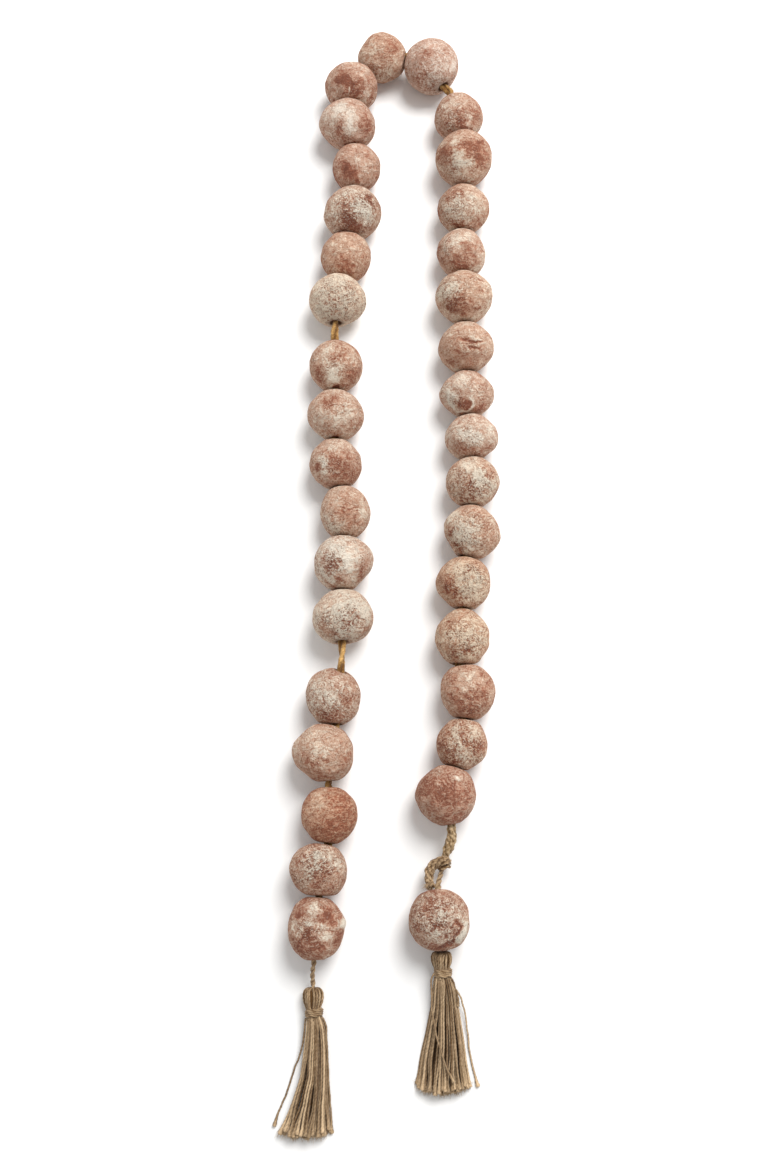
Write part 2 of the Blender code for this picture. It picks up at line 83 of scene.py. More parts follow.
# One row for each bead in the order it is strung, from the left tassel over the top to the right one.
# side and up say how far beside (left of the way along) and above the middle line the cord crosses to the
# next bead. lobes are (direction in degrees, millimetres) of its bulges and flats, seen from above.
Bead = namedtuple("Bead", "x y across tall side up lobes")
BEADS = [
    Bead(-39.7, -189.4, 30.6, 34.4, -0.8, 0.0, ((10, 0.8), (52, -0.9), (-22, -0.5))),
    Bead(-38.8, -158.9, 31.3, 28.8, -2.6, 0.0, ((150, 0.8), (105, -0.9), (-45, 1.0), (225, -0.5))),
    Bead(-33.5, -129.3, 30.8, 31.6, -1.2, 0.0, ((20, 0.6), (60, -0.5), (230, -0.9))),
    Bead(-36.7, -96.1, 33.6, 32.0, -4.2, 0.0, ((175, 1.2), (225, -1.2), (-50, 0.6), (-15, -0.4))),
    Bead(-32.0, -63.9, 30.9, 32.2, -2.4, 3.5, ((140, 0.3), (235, -0.6), (-40, 0.5))),
    Bead(-26.6, -18.9, 33.7, 31.5, 0.4, 0.0, ((-30, 0.5), (-62, -0.5), (165, 0.3), (215, 0.4))),
    Bead(-27.1, 12.8, 33.7, 31.6, 0.6, 0.0, ((15, 1.3), (-45, -1.0), (62, -0.4))),
    Bead(-26.2, 43.8, 29.2, 30.8, 1.6, 0.0, ((120, 0.2), (-35, -0.2))),
    Bead(-31.9, 73.3, 30.7, 28.8, 0.4, 0.0, ((160, 0.5), (45, -0.6), (-70, 0.3))),
    Bead(-32.3, 103.4, 32.9, 29.2, 0.0, 0.0, ((175, 0.5), (-20, 0.7), (235, -1.0))),
    Bead(-32.3, 134.5, 31.5, 32.0, 1.0, 1.5, ((240, -1.1), (300, -1.0), (80, 0.3))),
    Bead(-32.0, 176.8, 33.7, 32.0, 0.0, 0.0, ((0, 1.0), (-48, -0.9), (200, 0.2))),
    Bead(-27.0, 206.4, 30.5, 31.1, 0.0, 0.0, ((-60, -0.5), (110, 0.2))),
    Bead(-23.0, 235.3, 34.2, 32.0, 0.0, 0.0, ((190, 0.8), (8, 0.6), (130, -0.7))),
    Bead(-20.9, 267.0, 30.2, 29.1, 0.0, 0.0, ((-70, -0.4), (20, 0.3))),
    Bead(-26.7, 296.8, 33.8, 30.6, 0.0, 0.0, ((180, 0.9), (-25, 1.1), (228, -1.0))),
    Bead(-24.6, 323.9, 33.2, 28.7, 3.6, 0.0, ((-38, 0.9), (35, -0.5), (150, 0.3))),
    Bead(-5.1, 347.0, 29.6, 30.6, 4.0, 0.0, ((185, 0.7), (-5, 0.6), (140, -1.0), (225, -1.0))),
    Bead(26.6, 338.9, 33.1, 34.4, 2.8, 0.0, ((-50, -0.8), (140, 0.3))),
    Bead(42.7, 303.2, 30.3, 30.4, 0.0, 0.0, ((-25, 0.7), (150, -0.5), (60, -0.3))),
    Bead(45.7, 272.4, 35.4, 34.7, 1.2, 0.0, ((230, -0.9), (310, -1.0))),
    Bead(45.0, 238.5, 32.0, 28.2, 0.0, 0.0, ((20, 0.2), (250, -0.2))),
    Bead(43.3, 208.6, 30.1, 28.9, 0.0, 0.0, ((220, -1.0), (-30, 0.5), (95, 0.2))),
    Bead(44.7, 178.7, 34.5, 31.2, 0.0, 0.0, ((235, -0.8), (-50, -0.8))),
    Bead(45.2, 145.7, 33.1, 29.4, 1.4, 0.0, ((22, 0.8), (-52, -1.1), (230, -0.5))),
    Bead(45.4, 117.0, 31.0, 27.0, -0.7, 0.0, ((180, 1.1), (5, 0.9), (132, -1.0), (45, -0.6), (228, -0.8))),
    Bead(47.7, 89.8, 30.6, 25.8, 0.0, 0.0, ((-10, 0.5), (150, -0.2))),
    Bead(48.3, 61.8, 31.9, 28.3, 0.0, 0.0, ((0, -0.3), (160, 0.2))),
    Bead(46.8, 31.5, 31.4, 30.9, -0.9, 0.0, ((160, 0.8), (-15, 1.3), (215, -1.5), (45, -0.6))),
    Bead(42.2, 1.5, 31.1, 29.7, 0.0, 0.0, ((190, 0.9), (225, -0.9), (0, -0.4))),
    Bead(41.0, -30.1, 31.4, 31.6, -3.4, 0.0, ((55, -0.9), (125, -0.9))),
    Bead(43.2, -61.8, 30.2, 30.9, 0.0, 0.0, ((145, 0.7), (35, 0.8), (-30, 0.6), (180, -0.5), (240, -0.5))),
    Bead(39.7, -90.6, 28.5, 28.9, 0.0, 0.0, ((130, -0.5), (30, 0.2))),
    Bead(30.7, -118.9, 33.0, 33.2, 0.0, 0.0, ((170, 0.5), (130, -0.6), (-50, -0.4))),
    Bead(26.2, -184.9, 33.0, 33.0, 0.0, 0.0, ((-45, 0.5), (230, -0.3))),
]
LAST_STRUNG = len(BEADS) - 2

# How each bead was washed: how much white is left on it, how crusty and crackled its wash is at worst (0 to
# 1), how far its clay leans from mauve (-1) to orange (1), where the crust is, and patches of more or less
# white, which are rows of Patch. Places are seen from the camera, in shares of the bead's half width. A
# patch with less white is bare clay.
Look = namedtuple("Look", "wash crust tint crust_spot patches")
CrustSpot = namedtuple("CrustSpot", "right up size")
Patch = namedtuple("Patch", "right up size more")
LOOKS = [
    Look(0.40, 0.60, 0.0, (-0.25, -0.05, 0.45), (
        (-0.10, 0.65, 0.22, 0.90), (-0.30, 0.22, 0.20, 0.60), (0.15, 0.08, 0.22, 0.80),
        (0.38, -0.35, 0.20, 0.80), (-0.85, 0.05, 0.22, 0.70), (-0.50, 0.42, 0.22, -0.90),
        (0.35, 0.45, 0.26, -0.80), (-0.25, -0.28, 0.26, -0.80), (0.05, -0.55, 0.20, -0.70),
        (0.75, -0.35, 0.22, -0.50), (-0.60, -0.60, 0.25, -0.50), (-0.10, -0.90, 0.30, -0.40),
    )),
    Look(0.41, 1.00, 0.1, (-0.15, 0.15, 0.60), (
        (0.00, 0.50, 0.24, 0.60), (-0.15, 0.15, 0.24, 0.40), (0.50, 0.50, 0.30, 0.30),
        (0.85, 0.00, 0.25, 0.40), (0.50, -0.20, 0.28, 0.20), (-0.40, 0.25, 0.20, -0.40),
        (-0.10, 0.00, 0.22, -0.40), (0.20, -0.15, 0.26, -0.60), (0.00, -0.35, 0.22, -0.30),
    )),
    Look(0.35, 0.15, 0.4, (0.10, 0.10, 0.20), (
        (-0.45, 0.50, 0.36, 0.45), (-0.75, 0.10, 0.30, 0.20), (0.20, -0.45, 0.45, -0.30),
        (0.50, 0.10, 0.50, -0.10),
    )),
    Look(0.52, 0.30, 0.1, (-0.20, -0.30, 0.30), (
        (-0.05, -0.24, 0.24, 0.85), (0.00, 0.30, 0.50, 0.10), (-0.20, 0.60, 0.40, 0.15),
        (-0.40, -0.25, 0.28, -0.30), (-0.15, -0.70, 0.25, -0.40), (0.75, -0.20, 0.30, -0.20),
    )),
    Look(0.48, 0.60, 0.0, (-0.30, -0.20, 0.90), (
        (-0.60, 0.40, 0.26, 0.40), (-0.20, -0.10, 0.30, 0.20), (0.30, 0.20, 0.40, 0.10),
        (0.10, 0.35, 0.22, -0.40), (-0.30, -0.60, 0.30, -0.50), (0.05, -0.70, 0.30, -0.40),
        (0.60, -0.15, 0.30, -0.30),
    )),
    Look(0.62, 0.95, 0.1, (0.10, -0.20, 0.75), (
        (0.15, 0.80, 0.50, 0.20), (0.00, 0.30, 0.30, 0.40), (0.70, 0.10, 0.22, 0.60),
        (0.55, 0.40, 0.22, 0.40), (0.20, -0.45, 0.32, 0.30), (-0.30, 0.15, 0.22, 0.30),
        (-0.60, -0.05, 0.18, -0.70), (0.15, -0.10, 0.26, -0.60), (0.80, -0.35, 0.22, -0.50),
        (-0.45, -0.45, 0.24, -0.50), (0.50, -0.05, 0.14, -0.40),
    )),
    Look(0.62, 0.90, -0.1, (-0.45, 0.15, 0.50), (
        (0.20, 0.25, 0.32, 0.70), (-0.35, 0.60, 0.32, 0.50), (-0.60, 0.30, 0.22, 0.30),
        (-0.60, -0.50, 0.24, 0.50), (0.30, -0.35, 0.22, 0.30), (0.25, 0.00, 0.20, 0.50),
        (-0.35, 0.05, 0.20, -1.00), (-0.65, 0.20, 0.18, -0.80), (-0.50, -0.10, 0.18, -0.70),
        (0.70, -0.15, 0.28, -0.50), (0.00, -0.40, 0.22, -0.50), (-0.20, -0.60, 0.18, -0.60),
        (0.70, -0.50, 0.24, -0.40),
    )),
    Look(0.52, 0.55, 0.1, (-0.50, -0.50, 0.45), (
        (0.70, 0.20, 0.38, 0.25), (-0.30, 0.60, 0.40, 0.10), (-0.30, -0.60, 0.26, 0.30),
        (-0.70, -0.40, 0.25, 0.10), (0.10, -0.05, 0.38, -0.35), (0.35, -0.30, 0.35, -0.30),
        (-0.40, 0.25, 0.30, -0.20),
    )),
    Look(0.50, 0.50, 0.0, (-0.45, -0.05, 0.35), (
        (-0.45, -0.05, 0.16, 0.50), (-0.50, 0.20, 0.16, 0.40), (-0.45, -0.35, 0.16, 0.40),
        (0.20, 0.60, 0.40, 0.15), (0.85, -0.10, 0.25, 0.20), (0.10, -0.30, 0.50, -0.35),
        (0.30, 0.00, 0.45, -0.30), (-0.80, -0.10, 0.20, -0.40), (-0.20, 0.30, 0.25, -0.30),
    )),
    Look(0.55, 0.25, 0.0, (0.20, 0.20, 0.40), (
        (-0.60, 0.00, 0.40, 0.15), (0.20, -0.10, 0.38, 0.15), (0.60, 0.40, 0.30, 0.10),
        (-0.20, 0.45, 0.28, -0.40), (0.10, 0.55, 0.28, -0.30), (0.80, -0.40, 0.20, -0.40),
        (-0.10, -0.55, 0.35, -0.10),
    )),
    Look(0.47, 0.40, 0.1, (-0.10, 0.00, 0.50), (
        (-0.35, 0.65, 0.26, 0.50), (-0.45, 0.20, 0.22, 0.40), (0.05, -0.05, 0.20, 0.60),
        (-0.10, -0.35, 0.22, 0.50), (0.10, -0.30, 0.20, 0.40), (-0.15, -0.60, 0.24, 0.40),
        (0.75, 0.35, 0.30, 0.20), (0.60, -0.25, 0.38, -0.40), (-0.70, -0.30, 0.35, -0.40),
        (0.10, 0.40, 0.26, -0.30),
    )),
    Look(0.73, 1.00, 0.3, (0.00, -0.10, 0.90), (
        (0.25, 0.75, 0.32, 0.30), (-0.80, -0.10, 0.28, 0.20), (-0.60, -0.50, 0.28, 0.20),
        (-0.10, -0.10, 0.45, -0.15), (0.20, 0.10, 0.40, -0.10), (0.70, -0.40, 0.30, -0.10),
    )),
    Look(0.47, 0.10, 0.2, (0.40, 0.30, 0.30), (
        (-0.20, 0.50, 0.50, 0.10), (0.00, -0.35, 0.30, -0.55), (0.50, -0.60, 0.35, -0.05),
    )),
    Look(0.51, 1.00, 0.0, (0.15, 0.10, 0.60), (
        (0.35, 0.15, 0.22, 0.50), (0.60, -0.05, 0.20, 0.70), (0.20, 0.75, 0.32, 0.20),
        (-0.60, 0.00, 0.30, 0.10), (-0.20, -0.10, 0.28, -0.80), (-0.30, 0.35, 0.26, -0.30),
        (0.50, 0.55, 0.18, -0.60), (-0.10, -0.35, 0.20, -0.50), (0.30, -0.50, 0.24, -0.50),
    )),
    Look(0.46, 0.10, -0.2, (-0.20, -0.60, 0.25), (
        (0.35, 0.30, 0.50, 0.15), (0.30, -0.40, 0.38, 0.10), (-0.35, 0.00, 0.30, -0.75),
        (-0.50, 0.30, 0.20, -0.30), (-0.10, -0.20, 0.20, -0.40),
    )),
    Look(0.54, 0.30, -0.3, (-0.10, -0.30, 0.40), (
        (-0.35, 0.60, 0.28, 0.60), (0.20, 0.35, 0.28, 0.40), (0.15, 0.00, 0.24, 0.50),
        (0.10, -0.30, 0.24, 0.40), (-0.80, 0.40, 0.28, 0.20), (-0.30, -0.15, 0.26, -0.60),
        (0.60, 0.30, 0.22, -0.50), (0.70, -0.10, 0.24, -0.50), (0.00, -0.55, 0.28, -0.40),
        (0.30, -0.65, 0.20, -0.40),
    )),
    Look(0.42, 0.35, -0.2, (0.10, 0.00, 0.35), (
        (-0.35, 0.35, 0.30, -0.60), (0.00, 0.10, 0.30, -0.50), (0.35, 0.00, 0.28, -0.40),
        (0.80, -0.30, 0.20, -0.40), (0.10, -0.35, 0.28, -0.40), (0.50, 0.60, 0.38, 0.25),
        (0.55, -0.20, 0.18, 0.60), (0.45, -0.55, 0.18, 0.70), (-0.10, -0.10, 0.10, 0.50),
        (-0.60, -0.10, 0.28, 0.15), (-0.80, 0.40, 0.30, 0.20),
    )),
    Look(0.46, 0.50, 0.1, (-0.10, -0.55, 0.40), (
        (-0.35, 0.50, 0.40, 0.20), (0.40, -0.50, 0.34, 0.15), (0.40, 0.40, 0.40, -0.20),
        (-0.10, -0.35, 0.35, -0.15),
    )),
    Look(0.57, 0.45, -0.5, (0.10, -0.50, 0.50), (
        (0.10, 0.55, 0.40, 0.15), (0.40, 0.00, 0.45, 0.15), (0.85, 0.10, 0.16, 0.50),
        (-0.30, 0.30, 0.28, -0.50), (-0.10, 0.45, 0.20, -0.30), (-0.60, -0.50, 0.30, -0.20),
        (0.00, -0.75, 0.30, -0.20),
    )),
    Look(0.46, 0.50, -0.1, (-0.20, 0.00, 0.50), (
        (-0.35, 0.20, 0.28, -0.40), (0.15, -0.10, 0.22, -0.50), (0.20, -0.45, 0.34, -0.55),
        (0.75, 0.00, 0.20, -0.40), (-0.50, -0.30, 0.30, -0.20), (0.45, 0.00, 0.12, 0.50),
        (0.40, -0.25, 0.14, 0.30), (-0.30, 0.00, 0.18, 0.30), (0.00, 0.75, 0.50, 0.15),
        (0.80, -0.50, 0.25, 0.30),
    )),
    Look(0.48, 0.55, 0.1, (-0.30, -0.30, 0.50), (
        (-0.65, 0.20, 0.28, -0.60), (0.55, 0.10, 0.38, -0.60), (0.10, 0.45, 0.28, -0.50),
        (-0.40, -0.30, 0.24, -0.30), (-0.35, 0.60, 0.18, 0.80), (-0.20, 0.20, 0.18, 0.60),
        (-0.15, -0.10, 0.22, 0.60), (0.15, -0.20, 0.22, 0.40), (0.00, -0.55, 0.28, 0.05),
        (-0.90, -0.20, 0.20, 0.30),
    )),
    Look(0.53, 0.70, 0.1, (-0.30, 0.10, 0.60), (
        (-0.50, 0.60, 0.28, -0.50), (-0.10, 0.70, 0.28, -0.30), (-0.15, -0.55, 0.18, -0.80),
        (0.60, -0.50, 0.28, -0.35), (-0.50, -0.40, 0.25, -0.20), (0.35, 0.20, 0.40, 0.15),
        (0.60, -0.10, 0.18, 0.30), (-0.30, 0.10, 0.30, 0.10), (0.10, -0.30, 0.28, 0.10),
    )),
    Look(0.48, 0.40, 0.0, (-0.60, 0.30, 0.40), (
        (-0.20, 0.55, 0.42, 0.40), (0.20, 0.75, 0.28, 0.40), (0.90, 0.00, 0.28, 0.30),
        (0.75, -0.50, 0.28, 0.30), (0.35, 0.30, 0.32, -0.35), (0.00, -0.45, 0.32, -0.60),
        (-0.40, -0.20, 0.30, -0.30), (-0.85, -0.20, 0.20, -0.20),
    )),
    Look(0.54, 0.75, 0.2, (-0.60, 0.25, 0.50), (
        (-0.50, 0.40, 0.26, 0.60), (-0.90, 0.00, 0.24, 0.50), (-0.30, -0.75, 0.28, 0.50),
        (0.10, -0.85, 0.24, 0.40), (0.50, 0.50, 0.50, 0.05), (-0.20, -0.20, 0.36, -0.60),
        (-0.65, 0.50, 0.18, -0.60), (-0.60, -0.30, 0.24, -0.50), (0.15, -0.50, 0.30, -0.40),
        (0.30, -0.10, 0.30, -0.15),
    )),
    Look(0.53, 0.30, 0.1, (0.30, 0.20, 0.35), (
        (0.20, 0.25, 0.24, 0.15), (0.50, 0.35, 0.38, 0.10), (-0.40, -0.75, 0.20, 0.50),
        (-0.35, 0.00, 0.34, -0.30), (-0.50, -0.55, 0.28, -0.30), (0.20, -0.35, 0.40, -0.20),
    )),
    Look(0.52, 0.55, -0.1, (-0.50, -0.30, 0.40), (
        (-0.30, 0.60, 0.38, 0.45), (-0.75, 0.00, 0.22, 0.30), (0.10, -0.35, 0.20, -0.90),
        (-0.25, -0.35, 0.20, -0.80), (0.60, -0.50, 0.28, -0.70), (0.30, 0.50, 0.40, -0.10),
        (-0.10, -0.75, 0.20, -0.50),
    )),
    Look(0.56, 0.40, -0.1, (0.00, 0.00, 0.50), (
        (-0.30, 0.15, 0.26, 0.60), (0.30, 0.00, 0.32, 0.40), (0.70, 0.40, 0.28, 0.30),
        (0.80, 0.00, 0.20, 0.30), (0.45, -0.45, 0.26, -0.60), (-0.50, -0.30, 0.28, -0.30),
        (0.00, -0.50, 0.28, -0.30), (0.55, 0.15, 0.14, -0.30),
    )),
    Look(0.56, 0.95, 0.2, (0.15, -0.15, 0.65), (
        (-0.25, 0.75, 0.28, 0.60), (0.20, 0.30, 0.18, 1.00), (0.30, 0.10, 0.20, 0.50),
        (0.80, -0.10, 0.24, 0.50), (-0.75, 0.40, 0.24, 0.30), (0.10, -0.70, 0.40, 0.15),
        (-0.10, 0.00, 0.28, -0.60), (0.10, -0.35, 0.28, -0.50), (0.60, 0.30, 0.20, -0.40),
        (-0.30, -0.50, 0.24, -0.30), (0.85, -0.50, 0.20, -0.50),
    )),
    Look(0.52, 0.90, 0.2, (-0.20, -0.20, 0.65), (
        (-0.70, 0.55, 0.32, 0.50), (-0.35, 0.00, 0.28, 0.50), (-0.15, -0.50, 0.38, 0.40),
        (0.10, 0.10, 0.28, 0.30), (-0.75, -0.30, 0.14, 0.30), (-0.75, 0.05, 0.18, -0.70),
        (-0.55, -0.45, 0.24, -0.60), (-0.40, -0.75, 0.20, -0.30), (0.60, -0.10, 0.40, -0.15),
        (0.30, 0.70, 0.40, -0.15),
    )),
    Look(0.50, 1.00, 0.5, (0.30, 0.00, 0.75), (
        (-0.20, 0.50, 0.40, 0.40), (0.40, -0.45, 0.32, 0.50), (0.50, 0.10, 0.32, 0.40),
        (0.00, -0.10, 0.22, 0.40), (-0.60, -0.10, 0.28, -0.70), (-0.25, -0.45, 0.24, -0.60),
        (0.15, 0.40, 0.18, -0.40), (0.10, 0.10, 0.10, -0.40),
    )),
    Look(0.58, 0.80, 0.5, (0.10, -0.10, 0.80), (
        (0.15, 0.10, 0.42, 0.20), (0.60, -0.20, 0.34, 0.10), (-0.50, 0.40, 0.30, -0.35),
        (0.00, 0.60, 0.25, -0.20), (-0.35, -0.50, 0.28, -0.50), (0.10, -0.45, 0.24, -0.30),
    )),
    Look(0.43, 0.25, 0.1, (0.30, -0.40, 0.50), (
        (0.00, 0.55, 0.46, 0.35), (0.85, 0.00, 0.20, 0.30), (-0.10, 0.10, 0.28, 0.15),
        (-0.50, 0.40, 0.24, -0.40), (-0.40, -0.30, 0.40, -0.25), (0.55, -0.10, 0.32, -0.40),
        (0.20, -0.60, 0.40, -0.35),
    )),
    Look(0.41, 0.70, 0.3, (0.00, 0.00, 0.90), (
        (0.60, 0.50, 0.32, 0.60), (-0.30, 0.55, 0.28, 0.30), (-0.20, 0.30, 0.28, 0.20),
        (0.00, -0.20, 0.28, 0.30), (0.20, -0.70, 0.28, 0.30), (0.10, 0.30, 0.18, -0.50),
        (-0.70, 0.00, 0.28, -0.40), (0.60, -0.15, 0.28, -0.40), (-0.30, -0.30, 0.24, -0.40),
        (-0.50, -0.50, 0.28, -0.30),
    )),
    Look(0.35, 0.25, -0.1, (0.00, 0.30, 0.40), (
        (0.00, 0.00, 0.60, -0.25), (-0.50, 0.25, 0.28, -0.15), (0.40, 0.45, 0.13, 1.30),
        (-0.70, -0.50, 0.35, 0.30), (0.80, -0.50, 0.34, 0.30), (0.55, 0.65, 0.28, 0.20),
        (-0.20, 0.70, 0.38, 0.10),
    )),
    Look(0.42, 0.85, 0.0, (0.00, 0.00, 0.80), (
        (0.60, 0.05, 0.26, 0.50), (0.00, -0.50, 0.30, 0.40), (0.85, -0.20, 0.20, 0.50),
        (-0.80, -0.10, 0.28, 0.15), (-0.30, 0.45, 0.34, -0.35), (0.10, 0.30, 0.28, -0.30),
        (-0.60, -0.30, 0.18, -0.60), (-0.20, -0.25, 0.14, -0.60), (0.35, -0.28, 0.18, -0.60),
        (-0.20, -0.85, 0.28, -0.40), (0.75, -0.48, 0.18, 0.60), (0.52, -0.72, 0.16, 0.50),
    )),
]

# Dents and ridges seen from the camera, in shares of the bead's half width: long and wide are half sizes,
# turn is degrees from level, and deep is millimetres into the clay (less than 0 stands out).
Mark = namedtuple("Mark", "bead right up turn_deg long wide deep")
MARKS = [
    Mark(1, 0.96, 0.16, 90, 0.15, 0.14, -0.5),
    Mark(1, -0.45, -0.30, 60, 0.35, 0.05, 0.35),
    Mark(1, 0.10, 0.20, -12, 0.30, 0.05, 0.35),
    Mark(4, -0.05, -0.24, 0, 0.24, 0.20, 0.50),
    Mark(4, 0.04, -0.22, -10, 0.09, 0.04, 0.60),
    Mark(7, -0.55, -0.60, -40, 0.35, 0.04, 0.40),
    Mark(10, 0.00, -0.82, 0, 0.12, 0.07, 1.20),
    Mark(11, 0.00, -0.76, 0, 0.13, 0.10, 1.60),
    Mark(12, -0.78, 0.76, 45, 0.07, 0.06, -0.9),
    Mark(14, 0.55, 0.55, 30, 0.12, 0.07, 0.70),
    Mark(14, 0.66, 0.32, -30, 0.10, 0.06, 0.60),
    Mark(14, -0.10, -0.20, -35, 0.22, 0.05, 0.50),
    Mark(15, 0.00, -0.38, 0, 0.06, 0.05, 0.40),
    Mark(17, -0.05, -0.05, 80, 0.16, 0.03, -0.3),
    Mark(19, -0.25, -0.25, -60, 0.12, 0.04, 0.35),
    Mark(21, 0.57, 0.58, 20, 0.12, 0.05, 0.50),
    Mark(24, 0.60, 0.60, -15, 0.10, 0.03, 0.40),
    Mark(25, 0.08, 0.32, -8, 0.24, 0.045, 0.80),
    Mark(25, 0.36, 0.26, 6, 0.26, 0.040, 0.75),
    Mark(25, 0.22, 0.06, -14, 0.13, 0.050, 0.90),
    Mark(25, 0.42, 0.02, -10, 0.12, 0.040, 0.70),
    Mark(26, -0.61, -0.43, -53, 0.22, 0.05, -0.45),
    Mark(26, -0.22, -0.67, 2, 0.26, 0.05, -0.35),
    Mark(26, 0.165, -0.50, 52, 0.22, 0.05, -0.45),
    Mark(26, 0.19, -0.20, -49, 0.17, 0.05, -0.45),
    Mark(26, -0.71, -0.02, 90, 0.22, 0.05, -0.35),
    Mark(26, -0.44, -0.11, -46, 0.20, 0.05, -0.30),
    Mark(31, 0.25, -0.42, 22, 0.22, 0.04, 0.50),
    Mark(34, 0.40, 0.45, 0, 0.12, 0.11, 0.55),
    Mark(34, 0.00, -0.10, 0, 0.035, 0.035, 0.90),
    Mark(35, 0.02, -0.20, -6, 0.26, 0.045, 0.60),
    Mark(35, 0.66, -0.14, -38, 0.20, 0.05, 0.90),
    Mark(35, 0.72, -0.42, 62, 0.30, 0.07, -1.0),
    Mark(35, 0.58, -0.50, 55, 0.32, 0.05, 1.00),
    Mark(35, 0.25, -0.80, 20, 0.30, 0.06, 0.70),
]

# Stations on a cord or twine: its middle and its thickness there, as in the solids.
Station = namedtuple("Station", "x y z thick")
TIE_ROUTE = [
    Station(33.6, -134.6, 14.6, 4.6),
    Station(33.9, -139.5, 12.8, 5.2),
    Station(33.2, -143.8, 11.0, 5.6),
    Station(31.8, -147.6, 9.4, 5.2),
    Station(30.2, -151.2, 7.8, 3.6),
    Station(29.0, -155.4, 6.9, 2.6),
]
KNOT_ROUTE = [
    Station(30.8, -155.8, 3.6, 3.0),
    Station(31.7, -154.6, 7.0, 3.8),
    Station(31.1, -153.8, 10.4, 4.4),
    Station(29.6, -153.7, 12.2, 4.8),
    Station(26.7, -154.4, 11.6, 5.0),
    Station(23.9, -155.9, 10.2, 5.2),
    Station(21.9, -158.8, 9.8, 5.2),
    Station(21.3, -161.8, 10.6, 5.2),
    Station(21.3, -164.8, 12.0, 5.0),
    Station(22.1, -168.0, 14.2, 5.2),
]
# A second, thinner turn of the cord's end under the first, over the place where the twine leaves the knot.
COLLAR_ROUTE = [
    Station(32.4, -157.0, 5.0, 2.2),
    Station(32.0, -156.4, 8.6, 2.6),
    Station(29.9, -157.2, 10.6, 2.9),
    Station(27.2, -157.7, 10.2, 2.9),
    Station(24.6, -157.4, 8.0, 2.6),
]
TIE_TWINE_ROUTE = [
    Station(28.6, -157.0, 6.9, 2.4),
    Station(27.9, -160.4, 8.4, 2.8),
    Station(26.6, -164.6, 12.0, 3.1),
    Station(25.9, -168.6, 14.8, 3.2),
    Station(25.8, -173.0, 15.4, 2.5),
    Station(26.9, -194.0, 14.8, 2.5),
    Station(27.4, -198.8, 13.4, 2.5),
    Station(27.8, -200.8, 11.9, 2.4),
]
BORE_STATIONS = (3, 6)  # the two of its stations between which it runs through the last bead's bore
NECK_TWINE_ROUTE = [
    Station(-39.9, -196.0, 14.6, 2.5),
    Station(-40.6, -206.4, 14.0, 2.6),
    Station(-41.2, -210.4, 12.2, 2.6),
    Station(-41.6, -214.0, 9.2, 2.6),
    Station(-41.4, -217.4, 7.4, 2.7),
    Station(-41.1, -220.8, 7.6, 2.6),
]
# How far before and after a crossing the cord bends, and how far inside the first bead it starts.
CORD_CORNER_MM = 2.6
CORD_START_MM = 14.0

# Tassels: the top of the head, how steeply it runs down, how long the tassel is, how long its head is as a
# share of HEAD_PROFILE, half the bundle's width and how far to its right the bundle's middle lies at each
# section, how the wrap slants across it, how far the head's yarns part at the front (in radians), how much
# paler the bundle's yarns are, its seed and the bundle's partings.
Tassel = namedtuple(
    "Tassel", "name x y z drop_deg long head_share spread sway slant split pale seed partings"
)

# A parting in a bundle: where it is across the bundle (-1 left to 1 right), from how far down to how far
# down it is open, and how far it pushes the yarns aside as a share of the bundle's half width.
Parting = namedtuple("Parting", "side start end push")
TASSELS = [
    Tassel(
        "left", -41.1, -220.1, 5.9, 0.5, 74.0, 1.0,
        (2.9, 4.0, 4.8, 5.3, 6.1, 7.5, 10.0, 13.9),
        (0.2, 0.8, 1.2, 1.5, 1.4, 0.7, -1.4, -3.7),
        0.06, 0.17, 0.06, 3,
        (Parting(-0.55, 36.0, 68.0, 0.12), Parting(0.02, 44.0, 70.0, 0.11), Parting(0.42, 20.0, 60.0, 0.06)),
    ),
    Tassel(
        "right", 28.0, -201.4, 10.3, 8.5, 71.2, 0.85,
        (2.9, 4.5, 5.4, 6.1, 7.1, 9.9, 12.3, 14.7),
        (0.2, 0.4, 0.7, 1.0, 1.3, 1.1, 0.5, 0.4),
        0.0, 0.06, -0.08, 8,
        (Parting(0.12, 17.0, 64.0, 0.12), Parting(-0.42, 34.0, 66.0, 0.08), Parting(0.60, 24.0, 60.0, 0.05)),
    ),
]

# The bundle of yarns: half its height, how far it has settled on the surface, and how thick a yarn is there.
Section = namedtuple("Section", "down half_high settled thick")
BUNDLE = [
    Section(12.0, 2.5, 0.0, 0.90),
    Section(16.0, 3.6, 0.0, 0.95),
    Section(19.0, 4.0, 0.05, 1.00),
    Section(22.0, 4.1, 0.15, 1.05),
    Section(30.0, 4.1, 0.55, 1.10),
    Section(46.0, 4.0, 0.95, 1.15),
    Section(60.0, 3.8, 1.0, 1.20),
    Section(74.0, 3.5, 1.0, 1.25),
]

